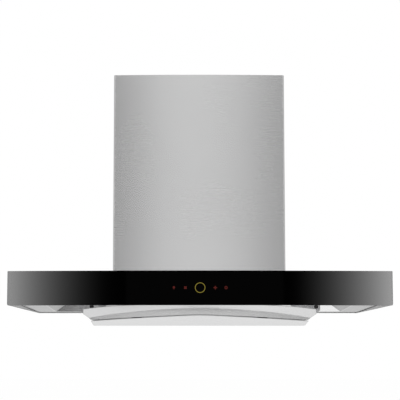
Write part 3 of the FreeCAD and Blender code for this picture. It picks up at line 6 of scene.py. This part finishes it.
import bpy
import bmesh
import json
import math
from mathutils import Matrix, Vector


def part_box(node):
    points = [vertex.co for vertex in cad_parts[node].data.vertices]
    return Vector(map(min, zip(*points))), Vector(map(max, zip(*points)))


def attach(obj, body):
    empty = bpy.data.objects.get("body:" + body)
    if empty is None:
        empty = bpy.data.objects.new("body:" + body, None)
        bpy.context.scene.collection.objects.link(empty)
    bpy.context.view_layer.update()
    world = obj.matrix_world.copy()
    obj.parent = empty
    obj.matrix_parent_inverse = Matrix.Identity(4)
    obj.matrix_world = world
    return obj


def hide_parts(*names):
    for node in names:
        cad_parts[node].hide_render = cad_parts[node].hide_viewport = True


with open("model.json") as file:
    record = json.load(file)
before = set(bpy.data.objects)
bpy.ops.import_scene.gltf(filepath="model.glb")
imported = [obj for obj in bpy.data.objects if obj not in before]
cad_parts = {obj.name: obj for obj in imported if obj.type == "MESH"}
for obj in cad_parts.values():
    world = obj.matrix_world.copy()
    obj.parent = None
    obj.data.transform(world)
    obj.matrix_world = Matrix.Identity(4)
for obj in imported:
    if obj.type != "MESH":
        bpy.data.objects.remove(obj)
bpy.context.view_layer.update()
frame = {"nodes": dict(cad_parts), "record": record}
nodes = frame["nodes"]
scene = bpy.context.scene
scene.view_settings.view_transform = "Standard"

MM = 0.001
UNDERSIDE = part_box("glass_front")[0].z
GLASS_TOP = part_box("glass_front")[1].z
GLASS_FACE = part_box("glass_front")[0].y
GLASS_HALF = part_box("glass_front")[1].x


# ---------------------------------------------------------------- node graphs

NOISE_REACH = (0.3, 0.7)


class Graph:
    """The node tree of a material or a world, with short calls for what is needed here."""

    def __init__(self, owner, output):
        owner.use_nodes = True
        self.owner = owner
        self.tree = owner.node_tree
        self.tree.nodes.clear()
        self.out = self.add(output)

    def add(self, kind, *inputs, **settings):
        made = self.tree.nodes.new("ShaderNode" + kind)
        for key, value in settings.items():
            setattr(made, key, value)
        for key, value in inputs:
            self.put(made.inputs[key], value)
        return made

    def put(self, socket, value):
        if isinstance(value, bpy.types.NodeSocket):
            self.tree.links.new(value, socket)
        else:
            socket.default_value = value

    def math(self, operation, *values):
        return self.add("Math", *enumerate(values), operation=operation).outputs[0]

    def noise(self, vector, scale, detail=2.0, rough=0.5):
        inputs = (("Vector", vector), ("Scale", scale), ("Detail", detail), ("Roughness", rough))
        return self.add("TexNoise", *inputs).outputs["Fac"]

    def remap(self, value, low, high, to_low, to_high):
        inputs = ((0, value), (1, low), (2, high), (3, to_low), (4, to_high))
        return self.add("MapRange", *inputs).outputs[0]

    def rise(self, value, low, high):
        """A share that climbs from 0 to 1 as the value goes from low to high."""
        return self.remap(value, low, high, 0.0, 1.0)

    def spread(self, noise, low, high):
        """Stretches the usual reach of a noise over two values."""
        return self.remap(noise, *NOISE_REACH, low, high)

    def blend(self, share, first, second):
        """A number between two, by a share from 0 to 1."""
        return self.add("Mix", (0, share), (2, first), (3, second)).outputs[0]

    def between(self, share, first, second):
        """A colour between two, by a share from 0 to 1."""
        mix = self.add("Mix", data_type="RGBA")
        for place, value in ((0, share), (6, first), (7, second)):
            self.put(mix.inputs[place], value)
        return mix.outputs[2]

    def place(self):
        """Object coordinates."""
        return self.add("TexCoord").outputs["Object"]

    def parts(self, vector):
        """The three numbers of a vector."""
        return self.add("SeparateXYZ", (0, vector)).outputs

    def facing(self):
        """The object's own normal, as three numbers."""
        return self.parts(self.add("TexCoord").outputs["Normal"])

    def bump(self, height, distance, strength=1.0):
        inputs = (("Height", height), ("Distance", distance), ("Strength", strength))
        return self.add("Bump", *inputs).outputs["Normal"]

    def crease(self, height, distance, strength):
        """A bump on the faces themselves, so that folds of a few degrees stay sharp."""
        face = self.add("NewGeometry").outputs["True Normal"]
        inputs = (("Height", height), ("Distance", distance), ("Strength", strength), ("Normal", face))
        return self.add("Bump", *inputs).outputs["Normal"]

    def surface(self, shader):
        """Ends the graph in this shader and gives back its material or world."""
        self.tree.links.new(shader, self.out.inputs["Surface"])
        return self.owner

    def finish(self, **inputs):
        """Ends the graph in one Principled shader; underscores stand for spaces."""
        shader = self.add("BsdfPrincipled")
        for key, value in inputs.items():
            self.put(shader.inputs[key.replace("_", " ")], value)
        return self.surface(shader.outputs[0])


def material_graph(name):
    return Graph(bpy.data.materials.new(name), "OutputMaterial")


def grey(value):
    return (value, value, value, 1.0)


def tint(colour, share):
    return tuple(min(1.0, c * share) for c in colour[:3]) + (1.0,)


# ---------------------------------------------------------------- materials

FINE_GRAIN = (9.0, 2600.0)
WIDE_GRAIN = (1.3, 160.0)
FINE_SHARE = 0.6
STREAK = 0.002
GRAIN_ROUGH = 0.004
SMUDGE_ROUGH = 0.005
GRAIN_DEPTH = 0.003 * MM
FACING_LEAST = 0.75
# How far a face must look sideways or down before it takes the painted shade and the matte finish
SHADE_AND_MATT_FROM = (0.3, 0.45)
DULL_ROUGH = 0.4


def brushed(name, colour, rough, anisotropic=0.5, folded=False, rim=1.0, dull=None):
    """Rolled steel sheet with its grain along each face; folded sheet keeps its creases.

    The rim value dulls the sheet where it is seen edge-on. The faces that look sideways (0) or
    down (2) can be given painted shade, a darker grey as their colour, and be made less metallic
    and rougher: the tuple gives their axis, their grey and how matte they are.
    """
    g = material_graph(name)
    x, y, z = g.parts(g.place())
    nx, _, nz = g.facing()
    flat = g.math("GREATER_THAN", g.math("ABSOLUTE", nz), FACING_LEAST)
    side = g.math("GREATER_THAN", g.math("ABSOLUTE", nx), FACING_LEAST)
    along, across = g.blend(side, x, y), g.blend(flat, z, y)

    def stretched(scales):
        """Coordinates in cells per metre along the grain and across it."""
        cells = [g.math("MULTIPLY", v, scale) for v, scale in zip((along, across), scales)]
        return g.add("CombineXYZ", *enumerate(cells)).outputs[0]

    grain = g.noise(stretched(FINE_GRAIN), 1.0, 3.0, 0.65)
    bands = g.noise(stretched(WIDE_GRAIN), 1.0, 4.0, 0.6)
    smudge = g.noise(g.place(), 7.0, 3.0)
    share = g.math("MULTIPLY_ADD", grain, FINE_SHARE, g.math("MULTIPLY", bands, 1 - FINE_SHARE))
    shade = g.between(share, tint(colour, 1 - STREAK), tint(colour, 1 + STREAK))
    worn = g.spread(grain, rough - GRAIN_ROUGH, rough + GRAIN_ROUGH)
    roughness = g.math("ADD", worn, g.spread(smudge, -SMUDGE_ROUGH, SMUDGE_ROUGH))
    metallic = 1.0
    # Painted shade: faces that look the chosen way get the given grey as colour; they are also made less
    # metallic and rougher
    if dull:
        axis, level, depth = dull
        toward = g.math("ABSOLUTE", nx) if axis == 0 else g.math("MULTIPLY", nz, -1.0)
        shade_and_matt = g.rise(toward, *SHADE_AND_MATT_FROM)
        shade = g.between(shade_and_matt, shade, grey(level))
        metallic = g.math("MULTIPLY_ADD", shade_and_matt, -depth, 1.0)
        roughness = g.math("MULTIPLY_ADD", shade_and_matt, DULL_ROUGH * depth, roughness)
    relief = g.crease if folded else g.bump
    return g.finish(
        Base_Color=shade,
        Metallic=metallic,
        Specular_Tint=grey(rim),
        Roughness=roughness,
        Anisotropic=anisotropic,
        Tangent=g.add("Tangent", direction_type="RADIAL", axis="Z").outputs[0],
        Normal=relief(grain, GRAIN_DEPTH, 0.1),
    )


def moulded(name, colour, rough, grain=1800.0):
    """Moulded plastic or rubber with a fine texture."""
    g = material_graph(name)
    fine = g.noise(g.place(), grain, 2.0)
    soft = g.noise(g.place(), 30.0, 3.0)
    return g.finish(
        Base_Color=g.between(g.spread(soft, 0.0, 1.0), tint(colour, 0.85), tint(colour, 1.15)),
        Roughness=g.spread(fine, rough - 0.06, rough + 0.06),
        Normal=g.bump(fine, 0.06 * MM, 0.4),
    )


def zinc(name, colour):
    """Galvanised sheet with its spangle."""
    g = material_graph(name)
    cells = g.add("TexVoronoi", ("Vector", g.place()), ("Scale", 95.0)).outputs["Color"]
    spangle = g.add("SeparateColor", (0, cells)).outputs[0]
    dull = g.noise(g.place(), 12.0, 4.0)
    share = g.math("MULTIPLY_ADD", spangle, 0.6, g.math("MULTIPLY", dull, 0.4))
    return g.finish(
        Base_Color=g.between(share, tint(colour, 0.82), tint(colour, 1.12)),
        Metallic=1.0,
        Roughness=g.remap(spangle, 0.0, 1.0, 0.34, 0.52),
        Normal=g.bump(dull, 0.1 * MM, 0.3),
    )


def cast(name, colour):
    """Cast aluminium."""
    g = material_graph(name)
    fine = g.noise(g.place(), 900.0, 3.0)
    return g.finish(
        Base_Color=g.between(fine, tint(colour, 0.85), tint(colour, 1.1)),
        Metallic=1.0,
        Roughness=g.spread(fine, 0.42, 0.6),
        Normal=g.bump(fine, 0.1 * MM, 0.6),
    )


def bright(name, colour, rough):
    """Polished or turned steel, with fine scratches."""
    g = material_graph(name)
    scratch = g.noise(g.place(), 1400.0, 2.0, 0.8)
    return g.finish(
        Base_Color=g.between(scratch, tint(colour, 0.92), tint(colour, 1.06)),
        Metallic=1.0,
        Roughness=g.spread(scratch, rough * 0.7, rough * 1.3),
        Normal=g.bump(scratch, 0.03 * MM, 0.3),
    )


def board(name):
    """Green circuit board with its tracks."""
    g = material_graph(name)
    bricks = g.add("TexBrick", ("Vector", g.place()), ("Scale", 260.0), ("Mortar Size", 0.06))
    return g.finish(
        Base_Color=g.between(bricks.outputs["Fac"], (0.01, 0.12, 0.045, 1.0), (0.03, 0.2, 0.08, 1.0)),
        Roughness=g.spread(g.noise(g.place(), 400.0), 0.3, 0.45),
    )


def lens(name):
    """Frosted lamp lens."""
    g = material_graph(name)
    frost = g.noise(g.place(), 1500.0, 2.0)
    return g.finish(
        Base_Color=g.between(frost, (0.86, 0.85, 0.8, 1.0), (0.95, 0.94, 0.9, 1.0)),
        Roughness=g.spread(frost, 0.25, 0.4),
        Normal=g.bump(frost, 0.05 * MM, 0.4),
    )


GLASS_SHINE = 0.015
FACE_GREY = 0.0004
EDGE_GREYS = (0.011, 0.018)
EDGE_ROUGH = 0.35


def black_glass(name):
    """Toughened glass painted black behind; its face is polished and its ground edge greyer."""
    g = material_graph(name)
    haze = g.noise(g.place(), 5.0, 4.0, 0.55)
    ground = g.noise(g.place(), 1200.0, 2.0)
    edge = g.remap(g.math("ABSOLUTE", g.facing()[1]), 0.35, 0.9, 1.0, 0.0)
    edge_shade = g.between(ground, *map(grey, EDGE_GREYS))
    return g.finish(
        Base_Color=g.between(edge, grey(FACE_GREY), edge_shade),
        Roughness=g.blend(edge, g.spread(haze, 0.03, 0.05), EDGE_ROUGH),
        IOR=1.5,
        Specular_IOR_Level=GLASS_SHINE,
    )


def glow(name, colour):
    """A lit window in the glass, uneven as a diffused lamp is."""
    g = material_graph(name)
    uneven = g.noise(g.place(), 420.0, 2.0)
    return g.finish(
        Base_Color=grey(0.001),
        Roughness=g.spread(uneven, 0.28, 0.32),
        Specular_IOR_Level=GLASS_SHINE,
        Emission_Color=g.between(uneven, tint(colour, 0.85), colour),
        Emission_Strength=1.0,
    )


STEEL = (0.7, 0.7, 0.702, 1.0)
STEEL_ROUGH = 0.27
looks = {
    "brushed_steel": brushed("steel_sheet", STEEL, STEEL_ROUGH),
    "black_glass": black_glass("black_glass_body"),
    "black_plastic": moulded("black_plastic_body", (0.018, 0.018, 0.019, 1.0), 0.42),
    "light_guide": lens("light_guide_body"),
    "circuit_board": board("circuit_board_body"),
    "lamp_lens": lens("lamp_lens_body"),
    "filter_steel": brushed("filter_sheet", (0.5, 0.5, 0.5, 1.0), 0.3, 0.3),
    "spring_steel": bright("spring_steel_body", (0.72, 0.72, 0.73, 1.0), 0.18),
    "magnet": moulded("magnet_body", (0.05, 0.05, 0.05, 1.0), 0.5),
    "galvanised": zinc("galvanised_sheet", (0.52, 0.54, 0.56, 1.0)),
    "motor_casting": cast("motor_casting_body", (0.6, 0.61, 0.62, 1.0)),
    "machined_steel": bright("machined_steel_body", (0.5, 0.5, 0.52, 1.0), 0.3),
    "collar_plastic": moulded("collar_plastic_body", (0.045, 0.045, 0.048, 1.0), 0.45),
    "gasket_rubber": moulded("gasket_rubber_body", (0.02, 0.02, 0.02, 1.0), 0.8, 900.0),
    "cup_steel": brushed("cup_sheet", (0.56, 0.56, 0.56, 1.0), 0.25, 0.3),
    "capacitor_shell": moulded("capacitor_shell_body", (0.6, 0.6, 0.57, 1.0), 0.3),
}
folded_steel = brushed("folded_steel_sheet", STEEL, STEEL_ROUGH, folded=True)
# The skirts' down-facing hems get painted shade: a dark grey colour, and a matte finish
skirt_steel = brushed("skirt_sheet", STEEL, STEEL_ROUGH, dull=(2, 0.14, 1.0))
special = {
    # The pan's sheet is darker than the other steel (0.57 against 0.7), painted shade under the hood; its
    # edge-on reflection is turned down as well
    "cavity_pan": brushed("pan_sheet", (0.57, 0.57, 0.572, 1.0), 0.3, folded=True, rim=0.75),
    # The cavity's side walls get painted shade: a darker grey on faces that look sideways, and a slightly
    # matte finish
    "cavity_walls": brushed("cavity_sheet", STEEL, 0.24, folded=True, dull=(0, 0.35, 0.3)),
    "cavity_roof": folded_steel,
    "deflector_tray": folded_steel,
    "deflector_panel": folded_steel,
    "left_skirt": skirt_steel,
    "right_skirt": skirt_steel,
    "catch_plates": moulded("blackened_pad", (0.03, 0.03, 0.031, 1.0), 0.5),
}
for part in frame["record"]["subparts"]:
    for slot in nodes[part["node"]].material_slots:
        slot.material = special.get(part["node"], looks[part["material_slot"]])


# ---------------------------------------------------------------- glass pane

FRONT_RADIUS = 5.2
GLASS_THICK = 6 * MM
SKIN = 0.05 * MM
OVERHANG = 0.6 * MM
LOWER_CORNER = 3.5 * MM
UPPER_CORNER = 1.5 * MM
ARRIS = 0.7 * MM
PANE_STEPS = 40
PANE_SHARE = 0.98
END_LENGTH = 8.5 * MM
END_STEPS = 12


def link(name, mesh, material):
    """A new object from a mesh and its one material."""
    thing = bpy.data.objects.new(name, mesh)
    scene.collection.objects.link(thing)
    mesh.materials.append(material)
    return thing


def bow(x):
    """How far the glass face stands back at a distance from the middle."""
    return FRONT_RADIUS - math.sqrt(FRONT_RADIUS**2 - x**2)


def corner_rise(x, radius):
    """How far the pane's edge is from its straight line, near a rounded corner."""
    inside = abs(x) - (GLASS_HALF - radius)
    return 0.0 if inside <= 0 else radius - math.sqrt(max(radius**2 - inside**2, 0.0))


def pane_stations():
    """Columns of the pane, closer together at its rounded corners."""
    middle = [GLASS_HALF * PANE_SHARE * i / PANE_STEPS for i in range(-PANE_STEPS, PANE_STEPS + 1)]
    turns = [math.radians(90 * i / END_STEPS) for i in range(1, END_STEPS + 1)]
    ends = [GLASS_HALF - END_LENGTH * (1 - math.sin(turn)) for turn in turns]
    return [-x for x in reversed(ends)] + middle + ends


def pane_mesh():
    """The pane before it is bowed: a flat plate with rounded corners."""
    mesh = bpy.data.meshes.new("glass_pane")
    bm = bmesh.new()
    front, back = GLASS_FACE + SKIN, GLASS_FACE + GLASS_THICK
    rings = []
    for x in pane_stations():
        low = UNDERSIDE - OVERHANG + corner_rise(x, LOWER_CORNER)
        high = GLASS_TOP - corner_rise(x, UPPER_CORNER)
        corners = ((front, low), (front, high), (back, high), (back, low))
        rings.append([bm.verts.new((x, y, z)) for y, z in corners])
    for a, b in zip(rings, rings[1:]):
        for i in range(4):
            j = (i + 1) % 4
            bm.faces.new((a[i], b[i], b[j], a[j]))
    bm.faces.new(rings[0])
    bm.faces.new(rings[-1][::-1])
    bmesh.ops.recalc_face_normals(bm, faces=bm.faces)
    bm.to_mesh(mesh)
    bm.free()
    return mesh


def glass_pane():
    """The glass front with ground edges, bowed forward in plan."""
    pane = link("glass_pane", pane_mesh(), looks["black_glass"])
    arris = pane.modifiers.new("arris", "BEVEL")
    arris.width = ARRIS
    arris.segments = 3
    arris.limit_method = "ANGLE"
    apply_modifiers(pane)
    for vertex in pane.data.vertices:
        vertex.co.y += bow(vertex.co.x)
    pane.data.shade_smooth()
    weighted = pane.modifiers.new("normals", "WEIGHTED_NORMAL")
    weighted.keep_sharp = True
    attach(pane, "hood")
    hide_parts("glass_front")
    return pane


def apply_modifiers(thing):
    """Keeps the modified mesh as the piece's own."""
    evaluated = thing.evaluated_get(bpy.context.evaluated_depsgraph_get())
    old = thing.data
    thing.data = bpy.data.meshes.new_from_object(evaluated)
    thing.modifiers.clear()
    bpy.data.meshes.remove(old)


# ---------------------------------------------------------------- keys

KEY_LEVEL = UNDERSIDE + 39.5 * MM
RING_RADIUS = 11.2 * MM
RING_LINE = 1.5 * MM
LAMP_AT = -60.2 * MM
SLOW_AT = -33.8 * MM
FAST_AT = 34.7 * MM
TIMER_AT = 59.5 * MM
LEAF_GAP = 0.15
LEAF_POINTS = 16
GOLD = (0.25, 0.205, 0.034, 1.0)
RED = (0.1, 0.017, 0.014, 1.0)


def on_glass(u, v):
    """A point on the nominal glass face, just in front of the pane, from the power key's middle."""
    return Vector((u, GLASS_FACE + bow(u), KEY_LEVEL + v))


def printed(name, shapes, material):
    """Thin marks on the glass, each a band between two closed lines or one filled line."""
    mesh = bpy.data.meshes.new(name)
    bm = bmesh.new()
    for outer, inner in shapes:
        rim = [bm.verts.new(on_glass(u, v)) for u, v in outer]
        if inner is None:
            bm.faces.new(rim)
            continue
        hole = [bm.verts.new(on_glass(u, v)) for u, v in inner]
        for i in range(len(rim)):
            j = (i + 1) % len(rim)
            bm.faces.new((rim[i], rim[j], hole[j], hole[i]))
    for face in bm.faces:
        face.normal_update()
        if face.normal.y > 0:
            face.normal_flip()
    bm.to_mesh(mesh)
    bm.free()
    mark = link(name, mesh, material)
    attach(mark, "hood")


def circle(u, v, radius, count):
    turns = [math.tau * i / count for i in range(count)]
    return [(u + radius * math.cos(turn), v + radius * math.sin(turn)) for turn in turns]


def bar(u, v, width, height):
    """An upright rectangle about its middle."""
    left, right, low, high = u - width / 2, u + width / 2, v - height / 2, v + height / 2
    return [(left, low), (right, low), (right, high), (left, high)]


def petal(u, v, turn, length, width):
    """One leaf of a fan mark, pointing away from its middle."""
    along = Vector((math.cos(turn), math.sin(turn))) * length / 2
    aside = Vector((-math.sin(turn), math.cos(turn))) * width / 2
    turns = [math.tau * i / LEAF_POINTS for i in range(LEAF_POINTS)]
    points = [along * (1 + LEAF_GAP + math.cos(t)) + aside * math.sin(t) for t in turns]
    return [(u + point.x, v + point.y) for point in points]


def filled(outline):
    """A mark without a hole."""
    return outline, None


def hoop(u, v, radius, line, count):
    """A round band of this middle radius and width."""
    return circle(u, v, radius + line / 2, count), circle(u, v, radius - line / 2, count)


def lamp_mark(u):
    """A bulb over its cap."""
    bulb = circle(u, 0.8 * MM, 2.7 * MM, 24)
    cap = bar(u, -2.9 * MM, 2.8 * MM, 1.0 * MM)
    return [filled(bulb), filled(cap)]


def fan_mark(u, first_turn, length, width):
    """Four leaves a quarter turn apart."""
    turns = [math.radians(first_turn + 90 * i) for i in range(4)]
    return [filled(petal(u, 0.0, turn, length, width)) for turn in turns]


def timer_mark(u):
    """A dot in a ring."""
    return [hoop(u, 0.0, 2.9 * MM, 1.4 * MM, 24), filled(circle(u, 0.0, 1.1 * MM, 12))]


def key_marks():
    """Ring of the power key, and four small marks: lamp, low and high speed, timer."""
    printed("power_ring", [hoop(0.0, 0.0, RING_RADIUS, RING_LINE, 64)], glow("gold_mark", GOLD))
    slow = fan_mark(SLOW_AT, 45, 3.6 * MM, 3.0 * MM)
    fast = fan_mark(FAST_AT, 0, 4.0 * MM, 2.6 * MM)
    marks = lamp_mark(LAMP_AT) + slow + fast + timer_mark(TIMER_AT)
    printed("key_marks", marks, glow("red_mark", RED))


pane = glass_pane()
key_marks()


# ---------------------------------------------------------------- floor and surroundings

FLOOR = UNDERSIDE - 1.6
FLOOR_HALF = 40.0
FLOOR_GREY = 0.95
FLOOR_WHITE = 0.85
FRONT_GREY = 0.93
SIDE_GREY = 0.55
REAR_GREY = 0.7


def rectangle(name, corners):
    """A mesh of one four-sided face."""
    mesh = bpy.data.meshes.new(name)
    mesh.from_pydata(corners, [], [(0, 1, 2, 3)])
    return mesh


def level_rectangle(name, x, y, z):
    """A level face between two places in x and two in y."""
    return rectangle(name, [(x[0], y[0], z), (x[1], y[0], z), (x[1], y[1], z), (x[0], y[1], z)])


def studio_floor():
    """A pale floor, nearly white to the camera, white to polished faces and clear from below."""
    g = material_graph("pale_floor")
    body = g.add("BsdfDiffuse", ("Color", grey(FLOOR_GREY)))
    white = g.add("Emission", ("Color", grey(1.0)), ("Strength", 1.0))
    path = g.add("LightPath").outputs
    seen = g.math("MULTIPLY", path["Is Camera Ray"], FLOOR_WHITE)
    share = g.math("MAXIMUM", seen, path["Is Glossy Ray"])
    blended = g.add("MixShader", (0, share), (1, body.outputs[0]), (2, white.outputs[0]))
    clear = g.add("BsdfTransparent")
    below = g.add("NewGeometry").outputs["Backfacing"]
    shown = g.add("MixShader", (0, below), (1, blended.outputs[0]), (2, clear.outputs[0]))
    reach = (-FLOOR_HALF, FLOOR_HALF)
    mesh = level_rectangle("studio_floor", reach, reach, FLOOR)
    link("studio_floor", mesh, g.surface(shown.outputs[0]))


def studio_world():
    """White to the camera and below; greyer round and above for what polished faces see."""
    g = Graph(bpy.data.worlds.new("studio"), "OutputWorld")
    x, y, z = g.parts(g.add("TexCoord").outputs["Generated"])
    above = g.rise(z, -0.12, 0.0)
    front = g.math("MULTIPLY", g.rise(g.math("MULTIPLY", y, -1.0), 0.2, 0.9), above)
    side = g.math("MULTIPLY", g.rise(g.math("ABSOLUTE", x), 0.6, 0.9), above)
    rear = g.math("MULTIPLY", g.rise(y, -0.2, 0.4), g.rise(z, 0.0, 0.3))
    shade = 1.0
    for share, level in ((front, FRONT_GREY), (side, SIDE_GREY), (rear, REAR_GREY)):
        shade = g.blend(share, shade, level)
    glossy = g.add("LightPath").outputs["Is Glossy Ray"]
    back = g.add("Background", ("Color", grey(1.0)), ("Strength", g.blend(glossy, 1.0, shade)))
    scene.world = g.surface(back.outputs[0])


studio_floor()
studio_world()


# ---------------------------------------------------------------- light

CARD_Y = -3.2
CARD_LOW = -1.6
CARD_HIGH = 1.4
UNDER_Y = (-1.1, -0.2)
UNDER_LEVEL = FLOOR + 0.1


def panel_light(name, place, target, width, height, power):
    """A rectangular lamp turned to a target, for all pieces but the pane."""
    lamp = bpy.data.lights.new(name, "AREA")
    lamp.shape = "RECTANGLE"
    lamp.size = width
    lamp.size_y = height
    lamp.energy = power
    thing = bpy.data.objects.new(name, lamp)
    thing.location = place
    thing.rotation_euler = (Vector(target) - Vector(place)).to_track_quat("-Z", "Y").to_euler()
    scene.collection.objects.link(thing)
    link_to_pane(thing, "EXCLUDE")


def link_to_pane(light, state):
    """Lets a light fall on the pane alone (INCLUDE) or on all but it (EXCLUDE)."""
    group = bpy.data.collections.new(light.name + "_link")
    group.objects.link(pane)
    light.light_linking.receiver_collection = group
    group.collection_objects[0].light_linking.link_state = state


def unseen_card(mesh, graph, strength):
    """A glowing card that only polished faces see."""
    lit = graph.add("Emission", ("Color", grey(1.0)), ("Strength", strength))
    card = link(mesh.name, mesh, graph.surface(lit.outputs[0]))
    card.visible_camera = False
    card.visible_diffuse = False
    card.visible_shadow = False
    return card


def gradient_card(name, inner, outer, strength, power):
    """A tall card beside the camera, for the pane alone, whose light rises towards its outer edge."""
    corners = [(inner, CARD_Y, CARD_LOW), (outer, CARD_Y, CARD_LOW)]
    corners += [(outer, CARD_Y, CARD_HIGH), (inner, CARD_Y, CARD_HIGH)]
    g = material_graph(name + "_light")
    share = g.rise(g.parts(g.place())[0], inner, outer)
    lit = g.math("MULTIPLY", g.math("POWER", share, power), strength)
    link_to_pane(unseen_card(rectangle(name, corners), g, lit), "INCLUDE")


def under_card(name, x, strength):
    """A level card just above the floor; with no strength it is a dark one."""
    unseen_card(level_rectangle(name, x, UNDER_Y, UNDER_LEVEL), material_graph(name + "_light"), strength)


gradient_card("card_right", inner=0.66, outer=1.53, strength=280.0, power=2.62)
gradient_card("card_left", inner=-0.52, outer=-1.46, strength=247.0, power=3.1)
under_card("card_under_left", x=(-1.1, -0.42), strength=0.0)
under_card("card_under_right", x=(0.35, 0.9), strength=1.3)
panel_light("front_strip", (-0.42, -3.6, 0.5), (-0.3, 0.0, 0.3), width=0.25, height=3.2, power=1.0)
panel_light("top_soft", (-0.6, -1.4, 2.6), (0.0, -0.25, -0.4), width=2.4, height=2.0, power=12.0)


# ---------------------------------------------------------------- camera

EYE_X = -0.028
EYE_AHEAD = 2.2418
EYE_BELOW = 0.0894
EYE_TILT = math.radians(4.908)


def studio_camera():
    """The photo's camera: a little left of the middle, below the underside and tilted up."""
    camera = bpy.data.cameras.new("camera")
    camera.sensor_width = 36.0
    camera.lens = 88.07
    camera.shift_x = 0.0302
    camera.shift_y = 0.15
    camera.clip_end = 200.0
    eye = bpy.data.objects.new("camera", camera)
    eye.location = (EYE_X, GLASS_FACE - EYE_AHEAD, UNDERSIDE - EYE_BELOW)
    eye.rotation_euler = (math.pi / 2 + EYE_TILT, 0.0, 0.0)
    scene.collection.objects.link(eye)
    scene.camera = eye


studio_camera()
